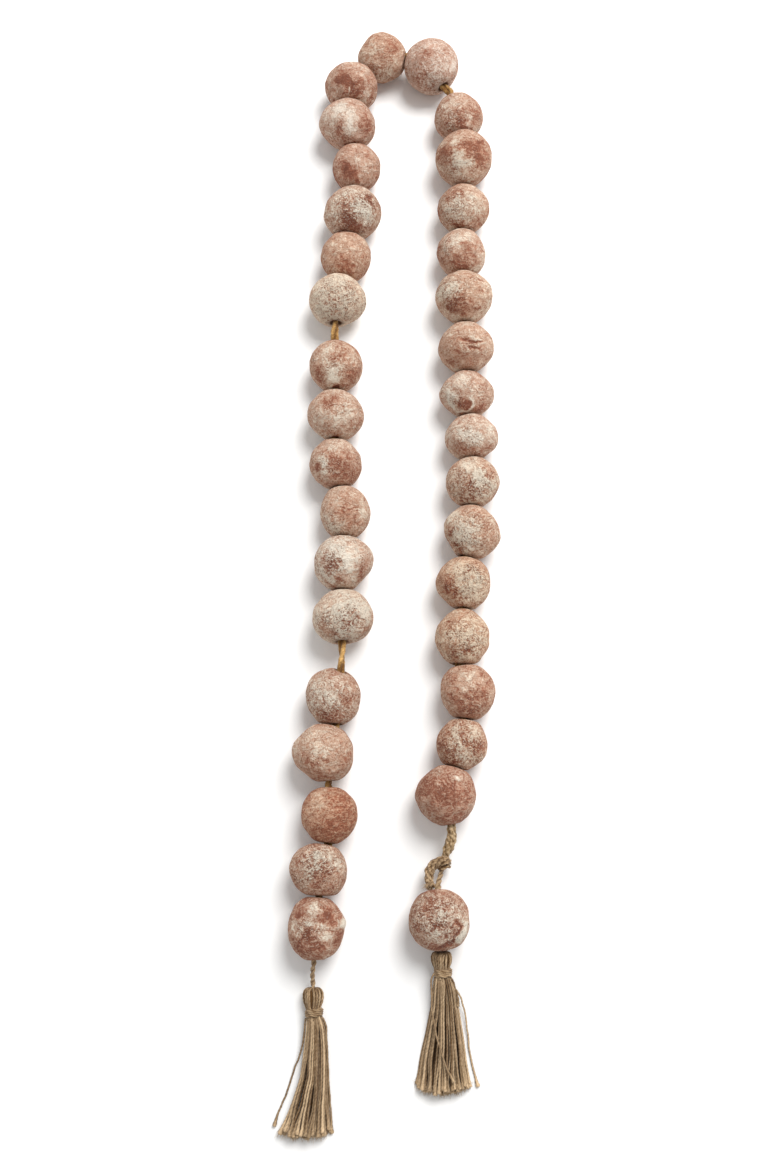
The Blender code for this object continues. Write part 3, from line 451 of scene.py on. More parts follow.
# Yarns that have left the bundle: how far down the tassel, to its right and up from the surface.
Stray = namedtuple("Stray", "down side up")
STRAYS = {
    "left": [
        [Stray(16.0, -3.8, 5.6), Stray(22.0, -4.6, 5.2), Stray(28.4, -5.2, 4.4), Stray(34.2, -6.6, 3.2),
         Stray(40.0, -9.1, 2.0), Stray(46.4, -11.1, 1.1), Stray(58.3, -15.5, 0.7), Stray(63.8, -18.0, 0.7),
         Stray(70.6, -20.2, 0.9)],
        [Stray(15.0, 4.6, 6.2), Stray(18.1, 6.6, 6.0), Stray(24.5, 7.4, 5.6), Stray(32.1, 7.7, 5.0),
         Stray(44.0, 8.3, 3.4), Stray(74.0, 10.6, 1.4)],
    ],
    "right": [
        [Stray(14.0, 4.0, 8.6), Stray(17.0, 5.4, 7.5), Stray(22.0, 8.6, 5.6), Stray(25.5, 10.4, 4.6),
         Stray(28.9, 11.5, 3.8), Stray(34.1, 12.6, 2.6), Stray(47.8, 14.2, 1.2), Stray(58.0, 15.6, 0.7),
         Stray(66.4, 17.8, 0.7), Stray(69.6, 18.9, 0.9)],
        [Stray(13.6, 4.6, 9.4), Stray(17.3, 6.4, 8.0), Stray(21.9, 7.9, 6.5), Stray(28.8, 8.6, 5.0)],
        [Stray(11.4, -4.2, 9.6), Stray(14.3, -5.7, 10.4), Stray(17.1, -5.9, 10.2), Stray(31.4, -5.6, 9.8),
         Stray(37.0, -4.7, 10.1), Stray(48.7, -1.8, 10.4), Stray(59.3, 1.9, 10.3), Stray(66.5, 5.6, 9.8)],
    ],
}

# A tassel's head: how far down it is and how far its folded yarns' middles lie from its middle line.
Turn = namedtuple("Turn", "down out")
HEAD_PROFILE = [
    Turn(0.9, 0.5),
    Turn(0.7, 1.8),
    Turn(0.9, 3.4),
    Turn(2.3, 4.6),
    Turn(4.4, 4.9),
    Turn(6.8, 4.7),
    Turn(8.8, 4.1),
    Turn(10.6, 3.5),
    Turn(13.6, 3.0),
    Turn(17.0, 3.0),
]

# The twine wound round a tassel's neck: how far down its middle turn lies, its turns, how far apart and how
# far out from the neck's middle line they lie, how far to the right, how thick the twine is, how many rows
# it has, the way that its first ply starts out and how low it may lie.
WRAP_MIDDLE_MM = 13.2
WRAP_TURNS = 3
WRAP_PITCH_MM = 1.15
WRAP_OUT_MM = 4.2
WRAP_SIDE_MM = 0.5
WRAP_TWINE_MM = 1.6
WRAP_ROWS = 110
WRAP_FIRST = (0.0, 1.0, 0.0)
WRAP_LOWEST_MM = 0.05


def linear(code):
    """A colour written as an sRGB hex code, as the linear red, green and blue that shaders take."""
    shares = [int(code[k : k + 2], 16) / 255 for k in (1, 3, 5)]
    return tuple(c / 12.92 if c <= 0.04045 else ((c + 0.055) / 1.055) ** 2.4 for c in shares)


def length_property(name, description, mm):
    return bpy.props.FloatProperty(name=name, description=description, default=mm * MM, unit="LENGTH")


def colour_property(name, description, code):
    return bpy.props.FloatVectorProperty(
        name=name, description=description, default=linear(code), size=3, min=0.0, max=1.0, subtype="COLOR"
    )


class GarlandSizes(bpy.types.PropertyGroup):
    relief: length_property("Clay relief", "How far the hand-rolled clay is uneven", 0.30)
    bore: length_property("Bore", "Radius of the hole through a bead", 3.4)
    rim: length_property("Rim", "How far the rim of the hole is rounded", 0.55)
    cord: length_property("Cord", "Thickness of the doubled jute cord", 4.6)
    cord_pitch: length_property("Cord twist", "Length of one turn of a thin twine's plies", 8.5)
    yarn_pitch: length_property("Yarn twist", "Length of one turn of a tassel yarn", 4.4)
    yarns: bpy.props.IntProperty(name="Yarns", description="Yarns in a tassel", default=76)
    fibre: length_property("Fibre", "Thickness of a loose jute fibre", 0.13)


class GarlandColours(bpy.types.PropertyGroup):
    deep_clay: colour_property("Deep clay", "Clay in pits and cracks", "#865340")
    bare_clay: colour_property("Bare clay", "Fired clay with no wash left on it", "#A26A52")
    thin_wash: colour_property("Thin wash", "Clay under a rubbed, thin wash", "#BF9880")
    worn_wash: colour_property("Worn wash", "Wash worn to a film", "#CBA892")
    pale_wash: colour_property("Pale wash", "Wash that still covers the clay", "#DCC6B0")
    white_wash: colour_property("White wash", "Thick wash", "#F0E4D2")
    cord_dark: colour_property("Cord, dark", "Jute cord between its fibres", "#75562E")
    cord_light: colour_property("Cord, light", "Jute cord's outer fibres", "#EACFA6")
    jute_dark: colour_property("Jute, dark", "Tassel yarn between its fibres", "#5A3C18")
    jute_light: colour_property("Jute, light", "Tassel yarn's outer fibres", "#DDBF98")
    floor: colour_property("Floor", "The surface that the garland lies on", "#F9F9F8")


def on_layout(x, y, z):
    return np.array([x, y, z]) - MIDDLE


def unit(vectors):
    return vectors / np.linalg.norm(vectors, axis=-1, keepdims=True)


def dots(a, b):
    return np.sum(a * b, axis=-1)


def lattice(cells, seed):
    """A random number from 0 to 1 for each whole-numbered place: its three numbers mixed and scrambled."""
    mixed = cells.astype(np.uint64) * np.array([0x9E3779B1, 0x85EBCA6B, 0xC2B2AE35], dtype=np.uint64)
    mixed = mixed[..., 0] ^ (mixed[..., 1] << np.uint64(7)) ^ (mixed[..., 2] << np.uint64(15))
    mixed = (mixed + np.uint64(seed * 7919 + 1)) * np.uint64(0x2545F4914F6CDD1D)
    mixed = (mixed ^ (mixed >> np.uint64(29))) * np.uint64(0xBF58476D1CE4E5B9)
    return (mixed >> np.uint64(40)).astype(float) / 2**24


def noise(points, seed):
    """Value noise from -1 to 1: random numbers at whole-numbered places, blended between the eight around."""
    cells = np.floor(points)
    part = points - cells
    part = part * part * (3 - 2 * part)
    cells = cells.astype(np.int64)
    total = np.zeros(points.shape[:-1])
    for corner in np.ndindex(2, 2, 2):
        share = np.where(np.array(corner) == 1, part, 1 - part)
        total += np.prod(share, axis=-1) * lattice(cells + np.array(corner), seed)
    return 2 * total - 1


def layered_noise(points, size, seed, layers=3):
    """Noise in layers, each half as large and half as strong as the one before it."""
    total = np.zeros(points.shape[:-1])
    for layer in range(layers):
        total += noise(points * (2**layer / size), seed + 31 * layer) / 2**layer
    return total


def quad_corners(rows, sides, closed_along):
    """Corners of the faces of one tube that closes round its sides, and end to end if closed_along, and
    where each corner is round the tube (in turns) and along it (in rows)."""
    row, side = np.meshgrid(np.arange(rows - (not closed_along)), np.arange(sides), indexing="ij")
    next_row, next_side = (row + 1) % rows, (side + 1) % sides
    corners = np.stack(
        [row * sides + side, row * sides + next_side, next_row * sides + next_side, next_row * sides + side],
        axis=-1,
    ).reshape(-1, 4)
    around = np.stack([side, side + 1, side + 1, side], axis=-1).reshape(-1, 4) / sides
    along = np.stack([row, row, row + 1, row + 1], axis=-1).reshape(-1, 4)
    return corners, around, along


MAP_STEP_MM = 37.0  # how far apart on the map two tubes of a piece start, so that no two show the same fibres


def tube_faces(points, along_mm, start, closed_along):
    """The faces of a set of tubes whose first vertex is number start: the vertex at each corner, how many
    corners each face has, and each corner's place on the map. An open tube has one face over each end."""
    count, rows, sides, _ = points.shape
    corners, around, along = quad_corners(rows, sides, closed_along)
    first = start + np.arange(count)[:, None, None] * rows * sides
    down = np.broadcast_to(along_mm, (count, rows)) + MAP_STEP_MM * np.arange(count)[:, None]
    down = np.concatenate([down, down[:, -1:]], axis=1)
    mapped = np.stack([np.broadcast_to(around, (count, *around.shape)), down[:, along]], axis=-1)
    loops = [(first + corners).reshape(-1)]
    totals = [np.full(count * len(corners), 4)]
    maps = [mapped.reshape(-1, 2)]
    if not closed_along:
        ring = np.arange(sides)
        ends = np.stack([ring[::-1], (rows - 1) * sides + ring])
        loops.append((first + ends).reshape(-1))
        totals.append(np.full(2 * count, sides))
        maps.append(np.zeros((2 * count * sides, 2)))
    return np.concatenate(loops), np.concatenate(totals), np.concatenate(maps)


def make_mesh(name, places, loops, totals, maps, values):
    """A smooth mesh from places in mm, the vertex at each corner, how many corners each face has, each
    corner's place on the map, and by name a number for each vertex."""
    mesh = bpy.data.meshes.new(name)
    mesh.vertices.add(len(places))
    mesh.vertices.foreach_set("co", (places * MM).astype(np.float32).ravel())
    mesh.loops.add(len(loops))
    mesh.loops.foreach_set("vertex_index", loops.astype(np.int32))
    mesh.polygons.add(len(totals))
    mesh.polygons.foreach_set("loop_start", (np.cumsum(totals) - totals).astype(np.int32))
    mesh.polygons.foreach_set("loop_total", totals.astype(np.int32))
    mesh.update(calc_edges=True)
    mesh.uv_layers.new(name="cord_map").data.foreach_set("uv", maps.astype(np.float32).ravel())
    for key, numbers in values.items():
        attribute = mesh.attributes.new(key, "FLOAT", "POINT")
        attribute.data.foreach_set("value", numbers.astype(np.float32))
    mesh.shade_smooth()
    return mesh


def make_piece(name, grids, material, node, closed_along=False):
    """One piece of several sets of tubes, in place of a solid. Each set is (points, along, values): points as
    an array of tubes, rows, sides and places in mm; along as mm down each row for the map; values as numbers
    by name."""
    faces = []
    start = 0
    for points, along_mm, _ in grids:
        faces.append(tube_faces(points, along_mm, start, closed_along))
        start += points[..., 0].size
    loops, totals, maps = (np.concatenate(sets) for sets in zip(*faces))
    values = {}
    for key in sorted({key for _, _, given in grids for key in given}):
        wide = [np.broadcast_to(given.get(key, 0.0), points.shape[:-1]) for points, _, given in grids]
        values[key] = np.concatenate([numbers.reshape(-1) for numbers in wide])
    places = np.concatenate([points.reshape(-1, 3) for points, _, _ in grids])
    mesh = make_mesh(name, places, loops, totals, maps, values)
    mesh.materials.append(material)
    piece = bpy.data.objects.new(name, mesh)
    bpy.context.scene.collection.objects.link(piece)
    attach(piece, "root")
    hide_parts(node)


def bead_middle(bead):
    return on_layout(bead.x, bead.y, bead.across * HIGH_SHARE / 2 - FOOT_MM)


def meeting(index):
    """Where a bead and the next one meet: the point, the way from one to the other, and both their limits."""
    bead, after = BEADS[index], BEADS[index + 1]
    start, end = bead_middle(bead), bead_middle(after)
    apart = np.linalg.norm(end - start)
    way = (end - start) / apart
    first = apart * bead.tall / (bead.tall + after.tall)
    return start + way * first, way, first - GAP_MM / 2, apart - first - GAP_MM / 2


def crossing(index):
    """Where the cord crosses from a bead to the next one, beside or above the point where they meet."""
    point, way, _, _ = meeting(index)
    beside = unit(np.array([-way[1], way[0], 0.0]))
    return point + beside * BEADS[index].side + np.array([0.0, 0.0, BEADS[index].up])


def station_point(station):
    return on_layout(station.x, station.y, station.z)


def station_rows(stations):
    """Stations as rows of a place and a thickness."""
    return [(*station_point(station), station.thick) for station in stations]


def bore_ends(index):
    """The two points that a bead's bore runs through."""
    if index > LAST_STRUNG:
        first, last = BORE_STATIONS
        return station_point(TIE_TWINE_ROUTE[first]), station_point(TIE_TWINE_ROUTE[last])
    before = crossing(index - 1) if index else station_point(NECK_TWINE_ROUTE[1])
    after = crossing(index) if index < LAST_STRUNG else station_point(TIE_ROUTE[0])
    return before, after


def bead_mouths(index):
    """Where the cord leaves the clay at both ends of a bead's bore, near enough."""
    middle = bead_middle(BEADS[index])
    start, end = bore_ends(index)
    way = unit(end - start)
    centre = start + dots(middle - start, way) * way
    half = math.sqrt((BEADS[index].tall / 2) ** 2 - dots(centre - middle, centre - middle))
    return centre - half * way, centre + half * way


def bead_radius(number, bead, directions):
    """How far the clay reaches: an ellipsoid, with bulges that fall off round their own directions, and
    the slow sines of a hand-rolled ball."""
    halves = np.array([bead.across, bead.tall, bead.across * HIGH_SHARE]) / 2
    radius = 1 / np.linalg.norm(directions / halves, axis=-1)
    for degrees, reach in bead.lobes:
        lobe = np.array([math.cos(math.radians(degrees)), math.sin(math.radians(degrees)), 0.0])
        radius = radius + reach * np.exp(LOBE_SHARPNESS * (directions @ lobe - 1))
    for k in range(1, WAVE_COUNT + 1):
        turn = GOLDEN_ANGLE * number * k
        along = unit(np.array([math.cos(turn), math.sin(turn), WAVE_SLANT * (-1) ** k]))
        radius = radius + WAVE_MM / k * np.sin(WAVE_RATE * k * (directions @ along) + turn)
    return radius


# Beads nearer than this lie rolled against each other, but for the one pair that lies a little open. Where
# they touch, each is pushed out so far, over so far beside the line between their middles.
TOUCH_MM = 3.0
OPEN_AFTER = 3
PLUMP_MM = 2.2
PLUMP_HALF_WIDE_MM = 8.0


def plumped(points, index, way):
    """Points pushed out along the way to a neighbour, so that the end of the bead is a flat, not a dome:
    index is the first bead of the two. The push falls off away from the line between their middles."""
    bead, after = BEADS[index], BEADS[index + 1]
    apart = np.linalg.norm(bead_middle(after) - bead_middle(bead)) - (bead.tall + after.tall) / 2
    if apart > TOUCH_MM or index + 1 == OPEN_AFTER:
        return points
    reach = points @ way
    beside = np.linalg.norm(points - reach[..., None] * way, axis=-1)
    push = (PLUMP_MM + max(apart, 0.0) / 2) * np.exp(-((beside / PLUMP_HALF_WIDE_MM) ** 2)) * (reach > 0)
    return points + push[..., None] * way


def pressed(points, way, limit):
    """Points held back short of the plane where the neighbour presses, by a smooth clip."""
    over = np.maximum(points @ way - (limit - PRESS_MM), 0.0)
    return points - (over - PRESS_MM * np.tanh(over / PRESS_MM))[..., None] * way


def seen_from_camera(middle):
    """The camera's right and up and the way to it, at a bead."""
    toward = unit(CAMERA_PLACE - MIDDLE - middle)
    right = unit(np.array([1.0, 0.0, 0.0]) - toward[0] * toward)
    return right, np.cross(toward, right), toward


# A bead's mesh: its sides round the bore, its rows from mouth to mouth and inside the bore, and how often
# the rings at its mouths are found again.
BEAD_SIDES = 102
BEAD_ROWS = 66
BORE_ROWS = 5
MOUTH_PASSES = 4


def mouth_ring(index, foot, way, sign):
    """Directions to the ring where the bore leaves the clay: straight along the bore from its foot to the
    clay's reach, found again a few times because the reach depends on the direction."""
    point = foot + sign * BEADS[index].tall / 2 * way
    for _ in range(MOUTH_PASSES):
        reach = bead_radius(index + 1, BEADS[index], unit(point))
        point = foot + sign * np.sqrt(reach**2 - dots(foot, foot))[:, None] * way
    return unit(point)


def bead_grid(index, sizes):
    """A bead's middle, and for each place of its mesh the direction to it, the clay's reach there and how far
    it is from the nearer mouth. The places are a ball's latitudes and longitudes about the bore, shifted
    sideways with it, from one mouth to the other."""
    bead = BEADS[index]
    middle = bead_middle(bead)
    start, end = (point - middle for point in bore_ends(index))
    way = unit(end - start)
    offset = start - dots(start, way) * way
    shift = np.linalg.norm(offset)
    sideways = offset / shift if shift > 0.01 else unit(np.cross(way, UPWARD))
    across = np.cross(way, sideways)
    around = TURN * np.arange(BEAD_SIDES) / BEAD_SIDES
    spokes = np.cos(around)[:, None] * sideways + np.sin(around)[:, None] * across
    foot = offset + spokes * (sizes.bore / MM)
    lean = shift / math.sqrt((bead.tall / 2) ** 2 - shift**2)
    latitudes, drifts = [], []
    for sign in (-1, 1):
        seen = mouth_ring(index, foot, way, sign)
        beside = lean * (seen @ sideways)
        ball = (beside + np.sqrt(beside**2 + 1 - lean**2))[:, None] * seen - lean * sideways
        latitudes.append(np.arcsin(ball @ way))
        drift = np.arctan2(ball @ across, ball @ sideways) - around
        drifts.append((drift + math.pi) % TURN - math.pi)
    share = np.linspace(0, 1, BEAD_ROWS)[:, None]
    latitude = latitudes[0] + (latitudes[1] - latitudes[0]) * share
    longitude = around + drifts[0] + (drifts[1] - drifts[0]) * share
    level = np.cos(longitude)[..., None] * sideways + np.sin(longitude)[..., None] * across
    ball = np.cos(latitude)[..., None] * level
    directions = unit(ball + np.sin(latitude)[..., None] * way + lean * sideways)
    radius = bead_radius(index + 1, bead, directions)
    from_mouth = radius * np.minimum(latitude - latitudes[0], latitudes[1] - latitude)
    return middle, directions, radius, from_mouth


# Flats that a bead's clay has from rolling: how many, how far in the deepest lies, how softly they meet the
# rest of the ball, and how far round from its own direction a flat's plane still counts.
FACETS = 22
FACET_MM = 0.45
FACET_LEAST_SHARE = 0.2
FACET_SOFT_MM = 0.12
FACET_EDGE = 0.5


def faceted(radius, directions, seed):
    """A radius held back by flats from rolling between the palms: planes in random directions, each a little
    under the clay's own reach there, joined by a soft minimum."""
    random = np.random.default_rng(seed)
    total = np.exp(-radius / FACET_SOFT_MM)
    for _ in range(FACETS):
        facing = directions @ unit(random.normal(size=3))
        here = radius.reshape(-1)[np.argmax(facing)] - FACET_MM * random.uniform(FACET_LEAST_SHARE, 1.0)
        total = total + np.exp(-here / np.maximum(facing, FACET_EDGE) / FACET_SOFT_MM)
    return -FACET_SOFT_MM * np.log(total)


# Wash: how strongly the table's patches count, how far their edges wander and in what steps, and mottling in
# two sizes. Sizes are shares of the bead's radius.
PATCH_SHARE = 0.65
WANDER = 0.15
WANDER_SIZE = 0.26
MOTTLE_WASH = 0.07
MOTTLE_SIZES = (0.50, 0.17)
# Patches on the side that the photo doesn't show: how many, how far they keep to that side, their sizes, and
# how much more white they have.
HIDDEN_PATCHES = 7
HIDDEN_PULL = 1.2
HIDDEN_SIZES = (0.2, 0.45)
HIDDEN_MORE = (-0.4, 0.3)
# Crust: how much there is away from its spot, how uneven it is and in what steps, and its most.
CRUST_LEAST = 0.18
CRUST_UNEVEN = 0.30
CRUST_SIZE = 0.30
CRUST_MOST = 1.15


def spot_share(directions, spot, size):
    """How much of a soft round spot is at each direction: 1 at its middle."""
    return np.exp(-np.sum((directions - spot) ** 2, axis=-1) / size**2)


def wash_of(index, directions, middle):
    """How much wash is left: the bead's own amount, its patches as soft round spots whose edges wander, more
    spots out of sight, and two sizes of mottling. Also how crusty it is."""
    look = LOOKS[index]
    right, up, toward = seen_from_camera(middle)
    seed = 100 * (index + 1)
    wander = np.stack([layered_noise(directions, WANDER_SIZE, seed + k) for k in range(3)], axis=-1)
    moved = directions + WANDER * wander

    def seen_spot(a, b, size):
        spot = unit(a * right + b * up + math.sqrt(max(1 - a * a - b * b, 0.0)) * toward)
        return spot_share(moved, spot, size)

    wash = look.wash
    for k, size in enumerate(MOTTLE_SIZES):
        wash = wash + MOTTLE_WASH * layered_noise(directions, size, seed + 11 + k)
    for patch in (Patch(*row) for row in look.patches):
        wash = wash + PATCH_SHARE * patch.more * seen_spot(patch.right, patch.up, patch.size)
    spot = CrustSpot(*look.crust_spot)
    uneven = CRUST_UNEVEN * layered_noise(directions, CRUST_SIZE, seed + 13)
    crust = CRUST_LEAST + seen_spot(spot.right, spot.up, spot.size) + uneven
    random = np.random.default_rng(seed)
    for _ in range(HIDDEN_PATCHES):
        hidden = unit(random.normal(size=3) - HIDDEN_PULL * toward)
        size = random.uniform(*HIDDEN_SIZES)
        wash = wash + random.uniform(*HIDDEN_MORE) * spot_share(moved, hidden, size)
    return wash, look.crust * np.clip(crust, 0.0, CRUST_MOST)


# How far a mark wanders to the side, and over what length, in shares of the bead's half width.
MARK_BEND = 0.03
MARK_BEND_SIZE = 0.2


def marks_of(index, directions, middle):
    """Millimetres that a bead's dents go in: each a line with soft sides and ends, bent a little."""
    right, up, toward = seen_from_camera(middle)
    a, b = directions @ right, directions @ up
    bent = MARK_BEND * noise(directions / MARK_BEND_SIZE, 500 + index)
    deep = np.zeros(a.shape)
    for mark in MARKS:
        if mark.bead != index + 1:
            continue
        turn = math.radians(mark.turn_deg)
        along = (a - mark.right) * math.cos(turn) + (b - mark.up) * math.sin(turn)
        beside = (b - mark.up) * math.cos(turn) - (a - mark.right) * math.sin(turn) + bent
        shape = np.exp(-((beside / mark.wide) ** 2) - (along / mark.long) ** 4)
        deep += mark.deep * shape * (directions @ toward > 0)
    return deep


# The clay's relief: broad bumps, and fine ones that are stronger in the crust. Sizes are in millimetres and
# shares are of the relief.
BUMP_SIZE_MM = 6.0
FINE_SIZE_MM = 2.2
FINE_SHARE = 0.12
FINE_CRUST_SHARE = 0.45
RIM_FADE_MM = 1.1
# How far from a mouth the jute dust and painted shade round the hole fade.
DUST_AND_SHADE_FADE_MM = 1.3
RIDGE_WASH = 1.8  # how much more white a ridge keeps for each millimetre that it stands out
# What the clay inside the bore is like, and how much jute dust and painted shade darken it.
BORE_WASH = 0.25
BORE_CRUST = 0.1
BORE_DUST_AND_SHADE = 1.0


def bead_piece(index, sizes, material):
    """A bead: the ball's reach, held back by its flats, with relief, marks and rounded rims, pushed out and
    pressed flat against its neighbours, flat underneath, and closed through the bore."""
    middle, directions, radius, from_mouth = bead_grid(index, sizes)
    wash, crust = wash_of(index, directions, middle)
    seed = 1000 + 10 * index
    relief = sizes.relief / MM
    places = directions * radius[..., None]
    radius = faceted(radius, directions, seed) + relief * layered_noise(places, BUMP_SIZE_MM, seed, 2)
    fine = relief * (FINE_SHARE + FINE_CRUST_SHARE * crust)
    radius = radius + fine * layered_noise(places, FINE_SIZE_MM, seed + 1, 2)
    deep = marks_of(index, directions, middle)
    rounding = sizes.rim / MM * np.exp(-from_mouth / RIM_FADE_MM)
    points = directions * (radius - deep - rounding)[..., None]
    if 0 < index <= LAST_STRUNG:
        _, way, _, limit = meeting(index - 1)
        points = pressed(plumped(points, index - 1, -way), -way, limit)
    if index < LAST_STRUNG:
        _, way, limit, _ = meeting(index)
        points = pressed(plumped(points, index, way), way, limit)
    back = np.linspace(1, 0, BORE_ROWS + 2)[1:-1, None, None]
    bore = points[0] + (points[-1] - points[0]) * back
    points = np.concatenate([points, bore]) + middle
    points[..., 2] = np.maximum(points[..., 2], 0.0)
    # Dents lose wash, so they show bare clay, darkened further as painted shade; ridges keep more white.
    wash = wash - np.maximum(deep, 0.0) - RIDGE_WASH * np.minimum(deep, 0.0)
    # Round each mouth the clay is darkened: jute dust, and painted shade where the hole opens.
    rim = np.exp(-from_mouth / DUST_AND_SHADE_FADE_MM)
    values = {"tint": LOOKS[index].tint}
    for key, shown, inside in (
        ("wash", wash, BORE_WASH),
        ("crust", crust, BORE_CRUST),
        ("rim", rim, BORE_DUST_AND_SHADE),
    ):
        values[key] = np.concatenate([shown, np.full(bore.shape[:2], inside)])[None]
    grids = [(points[None], np.arange(len(points))[None], values)]
    number = f"bead_{index + 1:02d}"
    make_piece(f"rolled_{number}", grids, material, number, closed_along=True)


SPAN_STEPS = 16  # steps that a smooth path is first worked out in, between two of its points


def smooth_path(points, spacing):
    """A smooth curve through the points, even along its length: Catmull-Rom, then read at equal steps.
    points may have more columns than three; they are carried along."""
    points = np.asarray(points, dtype=float)
    ends = np.concatenate([2 * points[:1] - points[1:2], points, 2 * points[-1:] - points[-2:-1]])
    t = np.linspace(0, 1, SPAN_STEPS, endpoint=False)[:, None]
    runs = []
    for k in range(len(points) - 1):
        p, q, r, s = ends[k : k + 4]
        runs.append(q + t / 2 * (r - p + t * (2 * p - 5 * q + 4 * r - s + t * (3 * (q - r) + s - p))))
    fine = np.concatenate([*runs, points[-1:]])
    length = path_steps(fine[:, :3])
    steps = np.linspace(0, length[-1], max(int(length[-1] / spacing), 4) + 1)
    return np.stack([np.interp(steps, length, column) for column in fine.T], axis=-1), steps


def path_steps(path):
    """How far along a path each of its points lies."""
    return np.concatenate([[0.0], np.cumsum(np.linalg.norm(np.diff(path, axis=0), axis=1))])


def carried_frame(paths, first):
    """Two directions square to each path at every row, turned as little as possible from row to row."""
    along = unit(np.gradient(paths, axis=-2))
    side = np.broadcast_to(np.asarray(first, dtype=float), along[..., 0, :].shape)
    sides = np.empty_like(along)
    for row in range(paths.shape[-2]):
        here = along[..., row, :]
        side = unit(side - dots(side, here)[..., None] * here)
        sides[..., row, :] = side
    return sides, np.cross(along, sides)


def tubes(paths, radius, sides, first=UPWARD, ridges=None):
    """Round surfaces about paths: centre plus radius times cosine and sine of the turn along two carried
    directions. ridges is (how many, how deep, turn at each row) for a twisted section."""
    out, beside = carried_frame(paths, first)
    turn = TURN * np.arange(sides) / sides
    reach = np.broadcast_to(radius, paths.shape[:-1])[..., None] * np.ones(sides)
    if ridges:
        count, depth, phase = ridges
        reach = reach * (1 + depth * np.cos(count * (turn - np.asarray(phase)[..., None])))
    ring = out[..., None, :] * np.cos(turn)[:, None] + beside[..., None, :] * np.sin(turn)[:, None]
    return paths[..., None, :] + reach[..., None] * ring


def plied(path, offset, turns, count, first):
    """Middle lines of plies wound about a path: count of them, offset out, turned by turns at each row."""
    out, beside = carried_frame(path, first)
    angle = turns + TURN * np.arange(count).reshape(-1, *[1] * (path.ndim - 1)) / count
    reach = np.asarray(offset)[..., None]
    return path + reach * (np.cos(angle)[..., None] * out + np.sin(angle)[..., None] * beside)


# A rope's plies. Together they reach a little past half its thickness, so that they press into each other.
PLIES_REACH = 0.53
PLY_SIDES = 12
PLY_RIDGES = 3
PLY_RIDGE_DEPTH = 0.10
PLY_RIDGE_PITCH = 0.8  # one turn of the ridges over the stated length of a twine's turn
PLY_UNEVEN = 0.10
PLY_UNEVEN_MM = 2.6
LUMP_MM = 1.4
# A ply's tone on its outside, and how much darker it is painted toward the rope's middle, in the hollows
# between the plies: painted shade.
PLY_TOP_SHADE = 0.35
PLY_HOLLOW_SHADE = 2.4
# How far out from the rope's middle the plies' own middles lie, as a share of its thickness.
TWO_PLY_OUT = 0.235
FOUR_PLY_OUT = 0.27
TWINE_OUT = 0.19


def rope(route, steps, turns, plies, sizes, seed, out=TWO_PLY_OUT, first=UPWARD, lumpy=0.0, darker=0.0):
    """Plies that wind about a route of places and thicknesses, turned by turns at each row, out from it as a
    share of the thickness. Each ply is a round tube with ridges that wind along it, where its yarns lie, and
    lumps of noise as a share of its radius."""
    path, thick = route[:, :3], route[:, 3]
    lines = plied(path, thick * out, turns, plies, first)
    along = np.stack([steps / PLY_UNEVEN_MM, steps * 0 + seed, steps * 0], axis=-1)
    wobble = 1 + PLY_UNEVEN * noise(along, seed)
    phase = np.broadcast_to(TURN * steps / (sizes.cord_pitch / MM * PLY_RIDGE_PITCH), lines.shape[:-1])
    radius = thick * (PLIES_REACH - out) * wobble
    grid = tubes(lines, radius, PLY_SIDES, first, ridges=(PLY_RIDGES, PLY_RIDGE_DEPTH, phase))
    lumps = 1 + lumpy * layered_noise(grid, LUMP_MM, seed + 3, 2)
    grid = lines[..., None, :] + lumps[..., None] * (grid - lines[..., None, :])
    # Painted shade, darker toward the rope's middle, in the hollows between the plies.
    away = np.linalg.norm(grid - path[:, None, :], axis=-1) / (PLIES_REACH * thick[:, None])
    shade = PLY_TOP_SHADE - PLY_HOLLOW_SHADE * np.clip(1 - away, 0, 1) - darker
    return grid, lines, {"shade": shade}


# Loose fibres: their sides, their lengths as shares of the stated one, how thin they end, and their tones.
FIBRE_SIDES = 3
FIBRE_LONG = (0.5, 1.2)
FIBRE_TIP = 0.35
FIBRE_SHADE = (0.2, 0.5)
FIBRE_FIRST = (0.31, 0.42, 0.85)  # a direction that none of them runs along


def fibres(roots, ways, long_mm, thick_mm, seed, bend=0.6, rows=5):
    """Loose fibres: three-sided tubes that leave their roots along ways and curl, thinner toward the end."""
    random = np.random.default_rng(seed)
    count = len(roots)
    share = np.linspace(0, 1, rows)[None, :, None]
    curl = unit(random.normal(size=(count, 1, 3)))
    long = (long_mm * random.uniform(*FIBRE_LONG, count))[:, None, None]
    paths = roots[:, None, :] + long * (share * ways[:, None, :] + bend * share**2 * curl)
    paths[..., 2] = np.maximum(paths[..., 2], thick_mm)
    radius = thick_mm / 2 * np.linspace(1, FIBRE_TIP, rows)
    grid = tubes(paths, radius, FIBRE_SIDES, first=FIBRE_FIRST)
    return grid, np.linspace(0, long_mm, rows), {"shade": random.uniform(*FIBRE_SHADE, (count, 1, 1))}


FUZZ_ALONG = 0.9  # how far a fibre leans along its cord, over how far it stands off


def fuzz(lines, steps, sizes, every_mm, long_mm, seed):
    """Fibres that stand off a cord or its yarns at random places, one to every so many mm of its length."""
    random = np.random.default_rng(seed)
    count = int(steps[-1] / every_mm)
    rows = random.integers(2, lines.shape[-2] - 2, count)
    ply = random.integers(0, len(lines), count)
    roots = lines[ply, rows]
    along = unit(lines[ply, rows + 1] - lines[ply, rows - 1])
    out = unit(random.normal(size=roots.shape))
    leaning = FUZZ_ALONG * along * random.choice([-1, 1], (count, 1))
    ways = unit(out - dots(out, along)[:, None] * along + leaning)
    return fibres(roots, ways, long_mm, sizes.fibre / MM, seed + 1)


